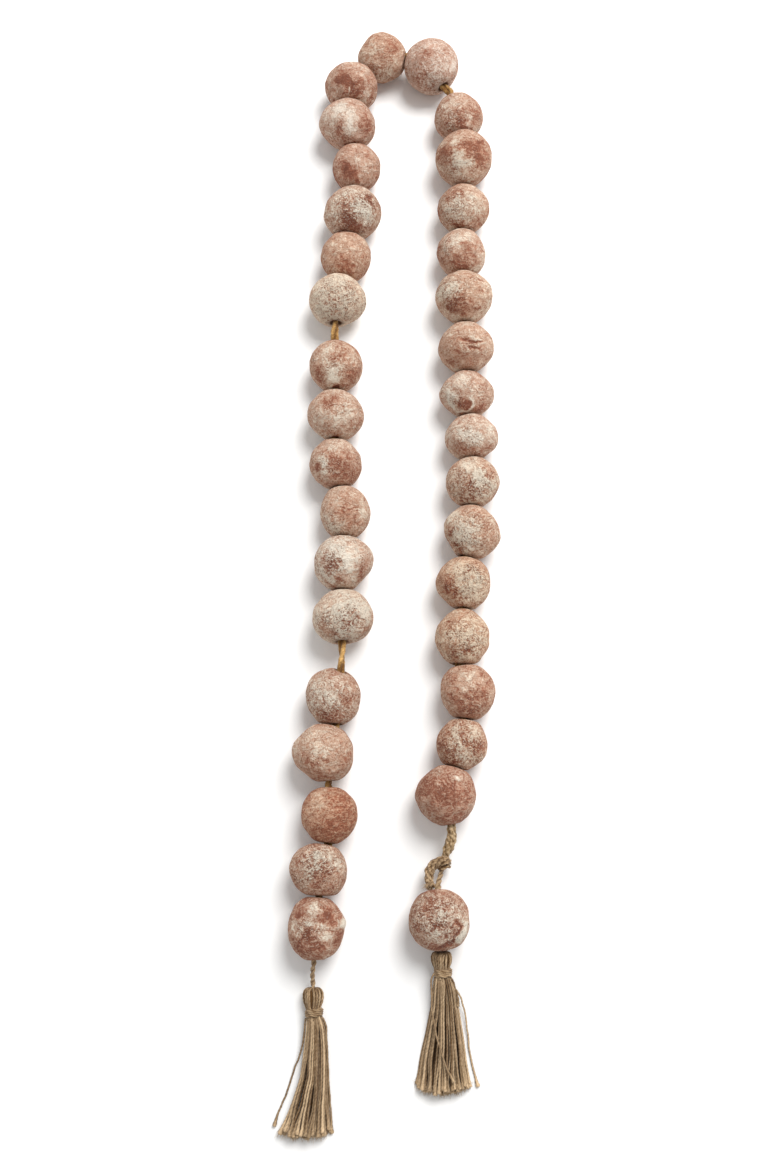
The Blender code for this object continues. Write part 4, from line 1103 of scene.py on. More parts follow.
def tassel_point(tassel, down, side, up):
    """A place down from the top of a tassel, to its right and up from the surface."""
    return np.stack(np.broadcast_arrays(tassel.x + side, tassel.y - down, up), axis=-1) - MIDDLE


def head_axes(tassel):
    """The top of a tassel's head, the way down it, the way to its right, and the way up from it."""
    drop = math.radians(tassel.drop_deg)
    way = np.array([0.0, -math.cos(drop), -math.sin(drop)])
    beside = np.array([1.0, 0.0, 0.0])
    return on_layout(tassel.x, tassel.y, tassel.z), way, beside, np.cross(way, beside)


BUNDLE_ROWS = 96
# A short head draws the bundle's upper sections up. It fades out at this place, over this length.
LIFT_END_MM = 46.0
LIFT_FADE_MM = 34.0


def bundle_sections(tassel):
    """The rows of a bundle, and its half height, how far it has settled, its yarns' thickness, its half width
    and its sway at each."""
    keys = np.array([section.down for section in BUNDLE])
    lifted = WRAP_MIDDLE_MM * (1 - tassel.head_share)
    keys = keys - lifted * np.clip((LIFT_END_MM - keys) / LIFT_FADE_MM, 0, 1)
    down = np.linspace(keys[0], keys[-1], BUNDLE_ROWS)
    columns = [[getattr(section, key) for section in BUNDLE] for key in ("half_high", "settled", "thick")]
    return down, *(np.interp(down, keys, column) for column in (*columns, tassel.spread, tassel.sway))


# A parting tapers to its ends over this length. It pushes the yarns away from its middle: how sharply it
# begins, how far it reaches and how far out a yarn may come are shares of the bundle's half width.
PARTING_TAPER_MM = 8.0
PARTING_EDGE = 0.05
PARTING_REACH = 0.30
ASIDE_MOST = 1.03


def parted(tassel, p, down):
    """How far across the bundle (-1 left to 1 right) each yarn is at each row, once its partings are open."""
    aside = np.broadcast_to(p[:, None], (len(p), len(down))).copy()
    for parting in tassel.partings:
        opening = np.clip((down - parting.start) / PARTING_TAPER_MM, 0, 1)
        closing = np.clip((parting.end - down) / PARTING_TAPER_MM, 0, 1)
        apart = p[:, None] - parting.side
        near = np.exp(-((apart / PARTING_REACH) ** 2))
        aside += parting.push * (opening * closing) * np.tanh(apart / PARTING_EDGE) * near
    return np.clip(aside, -ASIDE_MOST, ASIDE_MOST)


# How much higher a yarn of the fanned-out hem ends, for each square millimetre of its place to the side.
FAN_PER_MM = 0.014
FAN_START_MM = 22.0
RAGGED_MM = (-0.6, 2.6)  # how far past the tassel's length a yarn ends
# How far a yarn wanders at its end, and how many bends it has on the way.
WANDER_SIDE_MM = 0.7
WANDER_UP_MM = 0.3
WANDER_BENDS = 3.0
# Yarns that lie lower in the bundle than this share of its half height get painted shade, darker by so much a
# share.
BURIED_BELOW = 0.82
BURIED_SHADE = 1.5


def bundle_paths(tassel, sizes):
    """Yarns as a sunflower's seeds in a circle that the sections stretch, settle on the surface and fan out.
    Partings push them aside, and each yarn wanders a little. Gives paths, rows, thicknesses, how much painted
    shade each row gets for lying buried, and each yarn's way out of the bundle."""
    count = sizes.yarns
    number = np.arange(count)
    out = np.sqrt((number + 0.5) / count)
    p = out * np.cos(GOLDEN_ANGLE * number + tassel.seed)
    q = out * np.sin(GOLDEN_ANGLE * number + tassel.seed)
    edge = np.sqrt(1 - p * p)
    down, half_high, settled, thick, half_wide, sway = bundle_sections(tassel)
    random = np.random.default_rng(tassel.seed)
    ragged = random.uniform(*RAGGED_MM, count)[:, None]
    share = (down - down[0]) / (down[-1] - down[0])
    fanned = FAN_PER_MM * (tassel.spread[-1] * p[:, None]) ** 2
    fan_share = np.clip((down - FAN_START_MM) / (down[-1] - FAN_START_MM), 0, 1)
    stretch = (tassel.long - down[-1] + ragged - fanned) * fan_share
    aside = parted(tassel, p, down)
    bends = np.broadcast_arrays(share * WANDER_BENDS, number[:, None] * 7.3, tassel.seed * 1.0)
    place = np.stack(bends, axis=-1)
    side = half_wide * aside + WANDER_SIDE_MM * share * noise(place, 40 + tassel.seed) + sway

    # Held by the wrap, the bundle is an ellipse about the head's middle line. Where it has settled, its yarns
    # lie on the surface and on each other, and the bundle is as thin at its sides as an arch.
    middle = tassel.z - math.tan(math.radians(tassel.drop_deg)) * down
    rest = thick / 2
    arch = np.sqrt(np.maximum(1 - np.minimum(aside, 1) ** 2, 0.02))
    raised = q[:, None] + edge[:, None]
    lying = rest + half_high * raised * 0.5 * (1 + arch / np.sqrt(1 - p * p + 1e-6)[:, None])
    lying = np.minimum(lying, rest + 2 * half_high)
    held = np.maximum(middle + half_high * q[:, None], rest)
    up = held + (lying - held) * settled
    up = np.maximum(up + WANDER_UP_MM * share * noise(place + 50, 60 + tassel.seed), rest)

    # Painted shade for yarns that lie low in the bundle, under others.
    top = np.maximum(q / edge, np.abs(p) ** 3)
    buried = BURIED_SHADE * np.clip(BURIED_BELOW - top, 0, 1.5)[:, None] * np.ones(len(down))
    outward = unit(np.stack([p, 0 * p, q], axis=-1))
    return tassel_point(tassel, down + stretch, side, up), down, thick, buried, outward


# Tassel yarns: two plies show as two ridges. They are uneven along their length, open to a brush at the end
# and are rounded at the tip.
YARN_SIDES = 8
YARN_RIDGES = 2
YARN_RIDGE_DEPTH = 0.13
YARN_UNEVEN = 0.12
YARN_UNEVEN_MM = 6
BRUSH = 1.2
BRUSH_MM = 2.8
TIP_ROUNDING = 0.6
TIP_MM = 0.4
# Their tones: from yarn to yarn, paler toward the end, and painted shade down the sides, where they touch,
# but for the cut end.
YARN_SHADES = (-0.60, 0.85)
END_SHADE = 0.6
END_SHADE_MM = 3.5
SIDE_SHADE = 1.5
CUT_END_MM = 0.8


def yarn_tubes(paths, down, thick, sizes, seed, buried=0.0, outward=UPWARD, brush=BRUSH, pale=0.0):
    """Tassel yarns: two-ply, so a round tube with two ridges that wind along it, swelling to a loose brush at
    its end. They get painted shade where they are buried, and round their sides, where they touch."""
    random = np.random.default_rng(seed)
    count = len(paths)
    phase = TURN * down / (sizes.yarn_pitch / MM) + random.uniform(0, TURN, (count, 1))
    from_end = down[-1] - down
    swell = 1 + brush * np.exp(-from_end / BRUSH_MM) - TIP_ROUNDING * np.exp(-from_end / TIP_MM)
    place = np.broadcast_arrays(down / YARN_UNEVEN_MM, np.arange(count)[:, None] * 3.1, 0.5)
    wobble = 1 + YARN_UNEVEN * noise(np.stack(place, axis=-1), seed + 5)
    radius = thick / 2 * swell * wobble
    paths = np.concatenate([paths[..., :2], np.maximum(paths[..., 2], radius)[..., None]], axis=-1)
    grid = tubes(paths, radius, YARN_SIDES, ridges=(YARN_RIDGES, YARN_RIDGE_DEPTH, phase))
    # Painted shade down each yarn's sides that face neither up nor out of the bundle, where yarns touch.
    round_yarn = (grid - paths[..., None, :]) / radius[..., None, None]
    way_out = np.broadcast_to(outward, (count, 3))[:, None, None, :]
    bare = np.maximum(round_yarn[..., 2], dots(round_yarn, way_out))
    inner = (1 - np.exp(-from_end / CUT_END_MM)) * np.ones(paths.shape[:-1])
    shade = random.uniform(*YARN_SHADES, (count, 1)) + pale
    shade = shade + END_SHADE * np.exp(-from_end / END_SHADE_MM) - buried * inner
    shade = shade[..., None] - SIDE_SHADE * inner[..., None] * (1 - np.clip(bare, -0.2, 1))
    return grid, down, {"shade": shade}


# Yarns that have left the bundle: their thickness, their kinks, their brush, and from what mean height up to
# what they catch more light.
STRAY_THICK_MM = 0.95
KINK_MM = 0.25
KINK_LONG_MM = 3.2
STRAY_BRUSH = 1.8
ON_TOP_MM = (6.0, 9.0)
ON_TOP_PALE = 0.6
STRAY_PALE = -0.1


def stray_tubes(tassel, sizes):
    """The yarns that have left the bundle, each along its own stations."""
    grids = []
    for k, rows in enumerate(STRAYS[tassel.name]):
        points = [tassel_point(tassel, row.down, row.side, row.up) for row in rows]
        path, steps = smooth_path(points, spacing=0.8)
        kinks = np.stack([steps / KINK_LONG_MM, steps * 0 + k, steps * 0 + tassel.seed], axis=-1)
        path[:, 0] += KINK_MM * noise(kinks, 3)
        low, high = ON_TOP_MM
        on_top = np.clip((path[:, 2].mean() - low) / (high - low), 0, 1)
        pale = ON_TOP_PALE * on_top + STRAY_PALE
        seed = tassel.seed + 70 + k
        grids.append(yarn_tubes(path[None], steps, STRAY_THICK_MM, sizes, seed, brush=STRAY_BRUSH, pale=pale))
    return grids


HEM_FIBRES = 16  # to each yarn
HEM_FIBRE_MM = 3.2
HEM_FIBRE_THICK = 1.8  # over a loose fibre's thickness
HEM_FAN = 0.50
HEM_SPREAD_MM = 0.45
HEM_BACK_MM = 1.2  # how far up the yarn they start


def hem_fibres(paths, sizes, seed):
    """Frayed ends: fibres that fan out from each yarn's last rows."""
    random = np.random.default_rng(seed)
    ends = np.repeat(paths[:, -2], HEM_FIBRES, axis=0)
    along = np.repeat(unit(paths[:, -1] - paths[:, -4]), HEM_FIBRES, axis=0)
    ways = unit(along + HEM_FAN * random.normal(size=ends.shape))
    roots = ends + HEM_SPREAD_MM * random.normal(size=ends.shape) - HEM_BACK_MM * along
    thick = sizes.fibre / MM * HEM_FIBRE_THICK
    return fibres(roots, ways, HEM_FIBRE_MM, thick, seed + 1, bend=0.3, rows=4)


# The head's folded yarns: how many, how unevenly they lie round it, how far down from the top they arch and
# drift to the side, half their thickness near the middle line and how much it grows to the widest, their
# ridges, their tones and the painted shade down their sides, and how they part at the front: how sharply,
# and how far round.
HEAD_YARNS = 24
HEAD_UNEVEN = 0.22
HEAD_ARCH_MM = 12
HEAD_DRIFT = 0.20
HEAD_YARN_MM = 0.46
HEAD_SWELL_MM = 0.24
HEAD_WIDEST_MM = 4.4
HEAD_RIDGE_DEPTH = 0.12
HEAD_SHADES = (-0.35, 0.45)
HEAD_SIDE_SHADE = 1.4
SPLIT_EDGE = 0.06
SPLIT_REACH = 0.6
HEAD_OUT_UNEVEN = 0.05
# A core painted dark under them: painted shade in the gaps between the yarns.
CORE_SIDES = 20
CORE_SHADE = -2.0


def head_grids(tassel, sizes):
    """The head: yarns folded over the twine. Each follows the head's outline from under the wrap to the top,
    its turn about the middle line drifting a little, over a core of the same outline painted dark, as painted
    shade between them. The yarns part a little at the front."""
    top, way, beside, above = head_axes(tassel)
    random = np.random.default_rng(tassel.seed + 20)
    count = HEAD_YARNS
    profile = [(turn.down * tassel.head_share, turn.out, 0.0) for turn in HEAD_PROFILE[::-1]]
    outline, steps = smooth_path(profile, spacing=0.45)
    down, out = outline[:, 0], outline[:, 1]
    turn = TURN * (np.arange(count) + random.uniform(-HEAD_UNEVEN, HEAD_UNEVEN, count))[:, None] / count
    arched = np.sin(math.pi * np.clip(down / (HEAD_ARCH_MM * tassel.head_share), 0, 1))
    angle = turn + HEAD_DRIFT * random.normal(size=(count, 1)) * arched
    facing = (angle + math.pi / 2) % TURN - math.pi
    near = np.exp(-((facing / SPLIT_REACH) ** 2))
    angle = angle + tassel.split * arched * np.tanh(facing / SPLIT_EDGE) * near
    spoke = np.cos(angle)[..., None] * beside + np.sin(angle)[..., None] * above
    reach = (out * (1 + HEAD_OUT_UNEVEN * random.normal(size=(count, 1))))[..., None]
    paths = top + down[:, None] * way + reach * spoke
    phase = TURN * steps / (sizes.yarn_pitch / MM) + random.uniform(0, TURN, (count, 1))
    radius = HEAD_YARN_MM + HEAD_SWELL_MM * np.clip(out / HEAD_WIDEST_MM, 0, 1)
    ridges = (YARN_RIDGES, HEAD_RIDGE_DEPTH, phase)
    grid = tubes(paths, radius, YARN_SIDES, first=above + 0.3 * beside, ridges=ridges)
    # Painted shade down the sides of each folded yarn, where they touch.
    outward = dots(grid - paths[..., None, :], spoke[..., None, :]) / radius[:, None]
    shade = random.uniform(*HEAD_SHADES, (count, 1, 1))
    shade = shade - HEAD_SIDE_SHADE * (1 - np.clip(outward, -0.2, 1))
    # The core, painted dark: painted shade in the gaps and the parting.
    core = top + down[:, None] * way
    ring = TURN * np.arange(CORE_SIDES) / CORE_SIDES
    spokes = np.cos(ring)[:, None] * above + np.sin(ring)[:, None] * beside
    core = core[:, None, :] + np.maximum(out - 0.5, 0.3)[:, None, None] * spokes
    return [(grid, steps, {"shade": shade}), (core[None], steps, {"shade": np.float64(CORE_SHADE)})]


def wrap_lines(tassel):
    """Turns of twine about the neck: a helix that slants across the tassel, its ends underneath."""
    top, way, beside, above = head_axes(tassel)
    turns = np.linspace(-WRAP_TURNS / 2, WRAP_TURNS / 2, WRAP_ROWS)
    angle = TURN * turns + math.pi / 2
    side = WRAP_OUT_MM * np.cos(angle)
    up = WRAP_OUT_MM * np.sin(angle)
    down = WRAP_MIDDLE_MM * tassel.head_share + WRAP_PITCH_MM * turns - tassel.slant * side
    return top + down[:, None] * way + (side + WRAP_SIDE_MM)[:, None] * beside + up[:, None] * above


# Kinds of shader node.
ATTRIBUTE = "ShaderNodeAttribute"
BUMP = "ShaderNodeBump"
MATH = "ShaderNodeMath"
MIX = "ShaderNodeMix"
NOISE = "ShaderNodeTexNoise"
PLACE = "ShaderNodeTexCoord"
RAMP = "ShaderNodeValToRGB"
RANGE = "ShaderNodeMapRange"
VECTOR_MATH = "ShaderNodeVectorMath"


def add_node(tree, kind, links=None, stops=(), **settings):
    """A node with its settings. links gives each input a value, a node to link its first output from, or a
    node and an output. stops are a colour ramp's places and colours."""
    node = tree.nodes.new(kind)
    for key, value in settings.items():
        setattr(node, key, value)
    for key, value in (links or {}).items():
        source = value if isinstance(value, tuple) else (value, 0)
        if isinstance(source[0], bpy.types.Node):
            tree.links.new(source[0].outputs[source[1]], node.inputs[key])
        else:
            node.inputs[key].default_value = value
    for _ in stops[2:]:
        node.color_ramp.elements.new(0.5)
    for k, (place, colour) in enumerate(stops):
        node.color_ramp.elements[k].position = place
        node.color_ramp.elements[k].color = (*colour, 1.0)
    return node


def new_material(name, sockets):
    """A material with these numbers and colours set on its shader's own sockets, the tree's own way to add a
    node, and the shader."""
    material = bpy.data.materials.new(name)
    material.use_nodes = True
    tree = material.node_tree
    shader = tree.nodes["Principled BSDF"]
    for key, value in sockets.items():
        shader.inputs[key].default_value = value
    return material, partial(add_node, tree), shader


def link(source, output, shader, socket):
    shader.id_data.links.new(source.outputs[output], shader.inputs[socket])


# Patterns in the wash: how many to a millimetre. Swirls are 6 mm across, smears 3 mm, flakes 2 mm, grains and
# specks a little under 1 mm. Rubbed lines are long one way and fine the other.
SWIRLS_PER_MM = 0.16
SWIRL_MM = 7.0  # how far the swirls bend what lies on them
SMEARS_PER_MM = 0.32
LINES_PER_MM = (0.22, 1.3, 0.22)
GRAINS_PER_MM = 1.05
FLAKES_PER_MM = 0.50
SPECKS_PER_MM = 1.1
# Where the flakes' edges, the pits and the crumbs lie in their patterns, from none to all.
FLAKE_FROM, FLAKE_TO = 0.47, 0.52
PIT_FROM, PIT_TO = 0.39, 0.34
CRUMB_FROM, CRUMB_TO = 0.60, 0.64
# Tones that the clay is multiplied by where it leans to mauve or to orange, and what lies on it.
MAUVE_LEAN = linear("#F6ECF3")
NO_LEAN = linear("#FFFFFF")
ORANGE_LEAN = linear("#FFEBD4")
# Brown of the pits: bare clay, darkened as painted shade in them.
PIT_BROWN = linear("#7C4A36")
# Brown for jute dust round the holes; it also paints shade at the mouths and in the bore.
DUST_AND_SHADE_BROWN = linear("#6E4932")


def washed_terracotta(colours):
    """Low-fired terracotta, hand-rolled, dipped in white wash and rubbed back while it dried: chalky and
    matte, red where the wash was rubbed off, cream where it stayed, crusty and crackled where it is thick."""
    sockets = {"Roughness": 0.92, "Specular IOR Level": 0.25}
    material, add, shader = new_material("rubbed_white_wash_on_terracotta", sockets)
    mm = add(VECTOR_MATH, {0: (add(PLACE), "Object"), "Scale": 1 / MM}, operation="SCALE")
    wash, crust, tint, rim = (
        (add(ATTRIBUTE, attribute_name=key), "Fac") for key in ("wash", "crust", "tint", "rim")
    )

    # Swirls bend the smears of wash and the fine lines that rubbing left.
    swirl = add(NOISE, {"Vector": mm, "Scale": SWIRLS_PER_MM, "Detail": 2.0, "Roughness": 0.5})
    swirled = add(VECTOR_MATH, {0: (swirl, "Color"), 1: (SWIRL_MM,) * 3, 2: mm}, operation="MULTIPLY_ADD")
    lined = add(VECTOR_MATH, {0: swirled, 1: LINES_PER_MM}, operation="MULTIPLY")
    smear, line, grain, curl, speck = (
        add(NOISE, {"Vector": place, "Scale": per_mm, "Detail": detail, "Roughness": rough, **more})
        for place, per_mm, detail, rough, more in (
            (swirled, SMEARS_PER_MM, 8.0, 0.70, {"Distortion": 1.2}),
            (lined, 1.0, 3.0, 0.60, {}),
            (mm, GRAINS_PER_MM, 3.0, 0.75, {}),
            (swirled, FLAKES_PER_MM, 3.0, 0.60, {}),
            (mm, SPECKS_PER_MM, 2.0, 0.65, {}),
        )
    )

    # Each pattern takes wash away or leaves more: so strongly on plain wash, and so much more in the crust.
    level = wash
    for pattern, plain, more in ((smear, 1.35, 0.7), (line, 0.75, 0.0), (grain, 1.0, 1.9)):
        strength = add(MATH, {0: crust, 1: more, 2: plain}, operation="MULTIPLY_ADD")
        centred = add(MATH, {0: pattern, 1: 0.5}, operation="SUBTRACT")
        shaken = add(MATH, {0: centred, 1: strength}, operation="MULTIPLY")
        level = add(MATH, {0: level, 1: shaken}, operation="ADD")

    # The crust has broken into flakes: each is paler and stands up, and the clay shows dark at its curling
    # edge, darkened further as painted shade in the crack.
    flake = add(RANGE, {0: curl, 1: FLAKE_FROM, 2: FLAKE_TO, 3: 0.0, 4: 1.0})
    edge = add(MATH, {0: flake, 1: 0.5}, operation="PINGPONG")
    flaked = add(MATH, {0: flake, 1: crust}, operation="MULTIPLY")
    edged = add(MATH, {0: edge, 1: crust}, operation="MULTIPLY")
    level = add(MATH, {0: flaked, 1: 0.42, 2: level}, operation="MULTIPLY_ADD")
    level = add(MATH, {0: edged, 1: -1.1, 2: level}, operation="MULTIPLY_ADD", use_clamp=True)

    # The wash's edges are quick: bare clay, the film that rubbing left and the layer that stayed. The clay
    # under it all leans from mauve to orange.
    colour = add(RAMP, {"Fac": level}, stops=[
        (0.0, colours.deep_clay),
        (0.26, colours.bare_clay),
        (0.42, colours.thin_wash),
        (0.60, colours.worn_wash),
        (0.69, colours.pale_wash),
        (1.0, colours.white_wash),
    ])
    lean = add(MATH, {0: tint, 1: 0.5, 2: 0.5}, operation="MULTIPLY_ADD", use_clamp=True)
    hue = add(RAMP, {"Fac": lean}, stops=[(0.0, MAUVE_LEAN), (0.5, NO_LEAN), (1.0, ORANGE_LEAN)])
    colour = add(MIX, {0: 1.0, 6: colour, 7: hue}, data_type="RGBA", blend_type="MULTIPLY")

    # Over it lie dark pits, crumbs of thick wash, and round the holes jute dust and painted shade, darkest
    # inside the bore.
    # The pits are bare clay, darker as painted shade in the hollows.
    pit = add(RANGE, {0: speck, 1: PIT_FROM, 2: PIT_TO, 3: 0.0, 4: 1.0})
    pit_share = add(MATH, {0: crust, 1: 0.75, 2: 0.25}, operation="MULTIPLY_ADD")
    pitted = add(MATH, {0: pit, 1: pit_share}, operation="MULTIPLY", use_clamp=True)
    crumb = add(RANGE, {0: speck, 1: CRUMB_FROM, 2: CRUMB_TO, 3: 0.0, 4: 1.0})
    crumb_share = add(MATH, {0: crust, 1: 0.85, 2: 0.05}, operation="MULTIPLY_ADD")
    crumbed = add(MATH, {0: crumb, 1: crumb_share}, operation="MULTIPLY", use_clamp=True)
    # Jute dust and painted shade at the mouths, and in the bore.
    dust_and_shade = add(MATH, {0: rim, 1: 0.8}, operation="MULTIPLY")
    for share, layer in ((pitted, PIT_BROWN), (crumbed, colours.white_wash), (dust_and_shade, DUST_AND_SHADE_BROWN)):
        colour = add(MIX, {0: share, 6: (colour, 2), 7: (*layer, 1.0)}, data_type="RGBA")
    link(colour, 2, shader, "Base Color")

    # Height in millimetres, before the bump softens it.
    grain_height = add(MATH, {0: crust, 1: 1.2, 2: 0.3}, operation="MULTIPLY_ADD")
    height = add(MATH, {0: grain, 1: grain_height}, operation="MULTIPLY")
    for pattern, high in ((smear, 1.8), (line, 0.6), (flaked, 0.50), (pitted, -0.40), (crumbed, 0.35)):
        height = add(MATH, {0: pattern, 1: high, 2: height}, operation="MULTIPLY_ADD")
    bump = add(BUMP, {"Height": height, "Distance": MM, "Strength": 1.0})
    link(bump, 0, shader, "Normal")
    return material


# Jute: its fibres wind once round the yarn in so many mm, and a streak lasts along it for so long.
FIBRE_PITCH_MM = 6.0
STREAKS_PER_MM = 0.22
STREAK_SHARE = 1.5
SHADE_SHARE = 0.40
LEVEL_AT_START = -0.23
GOLD = linear("#F6DFB0")  # what the waxed, golden cord is multiplied by


def jute(name, dark, light, fibre_mm, mottle_mm=3.6, mottling=0.50):
    """Jute, spun and plied: long pale fibres with brown hollows between them, matte with a faint sheen. The
    streaks follow the map: round the yarn by cosine and sine, and slowly along it."""
    sockets = {"Roughness": 0.9, "Specular IOR Level": 0.3, "Sheen Weight": 0.15, "Sheen Roughness": 0.5}
    material, add, shader = new_material(name, sockets)
    split = add("ShaderNodeSeparateXYZ", {0: add("ShaderNodeUVMap", uv_map="cord_map")})
    shade, golden = ((add(ATTRIBUTE, attribute_name=key), "Fac") for key in ("shade", "golden"))

    # Fibres slant: they wind round the yarn.
    turns = add(MATH, {0: (split, 1), 1: -1 / FIBRE_PITCH_MM, 2: (split, 0)}, operation="MULTIPLY_ADD")
    angle = add(MATH, {0: turns, 1: TURN}, operation="MULTIPLY")
    round_x = add(MATH, {0: angle}, operation="COSINE")
    round_y = add(MATH, {0: angle}, operation="SINE")
    along = add(MATH, {0: (split, 1), 1: STREAKS_PER_MM}, operation="MULTIPLY")
    place = add("ShaderNodeCombineXYZ", {0: round_x, 1: round_y, 2: along})
    streak = add(NOISE, {"Vector": place, "Scale": 1 / fibre_mm, "Detail": 3.0, "Roughness": 0.6})
    mm = add(VECTOR_MATH, {0: (add(PLACE), "Object"), "Scale": 1 / MM}, operation="SCALE")
    mottle = add(NOISE, {"Vector": mm, "Scale": 1 / mottle_mm, "Detail": 3.0})

    # Tone: the streaks, the shade attribute (each yarn's own tone with painted shade), and mottling about its
    # own middle.
    start = LEVEL_AT_START - 0.5 * mottling
    level = add(MATH, {0: streak, 1: STREAK_SHARE, 2: start}, operation="MULTIPLY_ADD")
    level = add(MATH, {0: shade, 1: SHADE_SHARE, 2: level}, operation="MULTIPLY_ADD")
    level = add(MATH, {0: mottle, 1: mottling, 2: level}, operation="MULTIPLY_ADD", use_clamp=True)
    middle = tuple(0.6 * a + 0.4 * b for a, b in zip(dark, light))
    colour = add(RAMP, {"Fac": level}, stops=[(0.05, dark), (0.48, middle), (0.92, light)])
    gold = {0: golden, 6: colour, 7: (*GOLD, 1.0)}
    link(add(MIX, gold, data_type="RGBA", blend_type="MULTIPLY"), 2, shader, "Base Color")
    link(add(BUMP, {"Height": streak, "Distance": 0.25 * MM}), 0, shader, "Normal")
    return material


class GARLAND_OT_beads(bpy.types.Operator):
    """Rolls, presses, bores and washes the clay beads."""

    bl_idname = "garland.beads"
    bl_label = "Clay beads"

    def execute(self, context):
        material = washed_terracotta(context.scene.garland_colours)
        for index in range(len(BEADS)):
            bead_piece(index, context.scene.garland_sizes, material)
        return {"FINISHED"}


# The strung cord: two strands that wind slowly about each other. At the holes its tone is painted darker:
# painted shade.
STRUNG_PITCH_MM = 46.0
STRUNG_TURN = 1.2
HOLE_SHADE = 1.1
HOLE_SHADE_MM = 2.0
# The tie above the knot: four plies, wound the other way and unevenly.
TIE_PITCH_MM = 19.0
TIE_TURN = 0.4
TIE_UNEVEN = 0.9
TIE_UNEVEN_MM = 4.0
TIE_LUMPY = 0.22
TIE_DARKER = 0.55


class GARLAND_OT_cord(bpy.types.Operator):
    """Strings the beads on two strands of jute cord and twists them tight down to the knot."""

    bl_idname = "garland.cord"
    bl_label = "Stringing cord"

    def execute(self, context):
        sizes, colours = context.scene.garland_sizes, context.scene.garland_colours
        material = jute(
            "golden_jute_cord",
            colours.cord_dark,
            colours.cord_light,
            fibre_mm=0.35,
            mottle_mm=1.8,
            mottling=1.3,
        )
        rows = self.strung_rows(sizes.cord / MM)
        tie = station_rows(TIE_ROUTE)
        strung, strung_steps = smooth_path([*rows, tie[0]], spacing=1.4)
        strung_turns = TURN * strung_steps / STRUNG_PITCH_MM + STRUNG_TURN
        strung_grid, strung_lines, shade = rope(strung, strung_steps, strung_turns, 2, sizes, 5)
        mouths = np.array([point for index in range(LAST_STRUNG + 1) for point in bead_mouths(index)])
        nearest = np.linalg.norm(strung[:, None, :3] - mouths, axis=-1).min(axis=1)
        # Painted shade on the cord where it goes into the beads.
        shade["shade"] = shade["shade"] - HOLE_SHADE * np.exp(-nearest / HOLE_SHADE_MM)[:, None]
        shade["golden"] = 1.0
        route, steps = smooth_path([rows[-1], *tie], spacing=0.5)
        place = np.stack([steps / TIE_UNEVEN_MM, steps * 0, steps * 0 + 3.7], axis=-1)
        turns = -TURN * steps / TIE_PITCH_MM + TIE_TURN + TIE_UNEVEN * noise(place, 8)
        grid, lines, tie_shade = rope(
            route, steps, turns, 4, sizes, 6, FOUR_PLY_OUT, lumpy=TIE_LUMPY, darker=TIE_DARKER
        )
        grids = [
            (strung_grid, strung_steps, shade),
            (grid, steps, tie_shade),
            fuzz(lines, steps, sizes, every_mm=0.45, long_mm=1.3, seed=17),
            fuzz(strung_lines, strung_steps, sizes, every_mm=2.2, long_mm=1.2, seed=23),
        ]
        make_piece("twisted_jute_cord", grids, material, "stringing_cord")
        return {"FINISHED"}

    def strung_rows(self, thick):
        """The cord's route through the beads: straight in each bore, with a short bend at each crossing."""
        start, after = bore_ends(0)
        rows = [(*(start + unit(after - start) * CORD_START_MM), thick)]
        for index in range(LAST_STRUNG):
            before, here = bore_ends(index)
            after = bore_ends(index + 1)[1]
            rows.append((*(here - unit(here - before) * CORD_CORNER_MM), thick))
            rows.append((*(here + unit(after - here) * CORD_CORNER_MM), thick))
        return rows


# The frayed cut end of the cord: fibres to each ply, which way they are swept, how far they spread, how
# long and thick they are, and how much paler than the cord.
FRAY_FIBRES = 60
FRAY_SWEEP = np.array([-0.7, -0.3, 0.1])
FRAY_SPREAD = 0.7
FRAY_MM = 2.9
FRAY_THICK_MM = 0.22
FRAY_PALE = 0.9
KNOT_TURN = 1.2  # how far round the cord's end its first ply starts


class GARLAND_OT_knot(bpy.types.Operator):
    """Winds the cord's end over the knot and frays its cut end."""

    bl_idname = "garland.knot"
    bl_label = "Knot"

    def execute(self, context):
        sizes, colours = context.scene.garland_sizes, context.scene.garland_colours
        material = jute(
            "golden_jute_knot",
            colours.jute_dark,
            colours.jute_light,
            fibre_mm=0.35,
            mottle_mm=1.6,
            mottling=1.9,
        )
        over, plies = self.wound(KNOT_ROUTE, sizes, pitch_mm=18.0, plies=4, out=FOUR_PLY_OUT, seed=2)
        under, _ = self.wound(COLLAR_ROUTE, sizes, pitch_mm=12.0, plies=2, out=TWO_PLY_OUT, seed=4)
        grids = [*over, *under, self.frayed(plies)]
        make_piece("tied_cord_end", grids, material, "knot_loop")
        return {"FINISHED"}

    def wound(self, stations, sizes, pitch_mm, plies, out, seed):
        """A length of the cord's end with its loose fibres, and the middle lines of its plies."""
        route, steps = smooth_path(station_rows(stations), spacing=0.5)
        turns = -TURN * steps / pitch_mm + KNOT_TURN
        grid, lines, shade = rope(
            route, steps, turns, plies, sizes, seed, out, lumpy=TIE_LUMPY, darker=TIE_DARKER
        )
        loose = fuzz(lines, steps, sizes, every_mm=0.2, long_mm=1.6, seed=31 + seed)
        return [(grid, steps, shade), loose], lines

    def frayed(self, plies):
        """Fibres that fan out from the plies' last rows."""
        random = np.random.default_rng(12)
        roots = np.repeat(plies[:, -2], FRAY_FIBRES, axis=0)
        along = np.repeat(unit(plies[:, -1] - plies[:, -4]), FRAY_FIBRES, axis=0)
        ways = unit(0.5 * along + FRAY_SWEEP + FRAY_SPREAD * random.normal(size=roots.shape))
        places = roots + FRAY_SPREAD * random.normal(size=roots.shape) - along
        grid, steps, shade = fibres(places, ways, FRAY_MM, FRAY_THICK_MM, 13, bend=0.4)
        return grid, steps, {"shade": shade["shade"] + FRAY_PALE}


TWINE_DARKER = 0.3


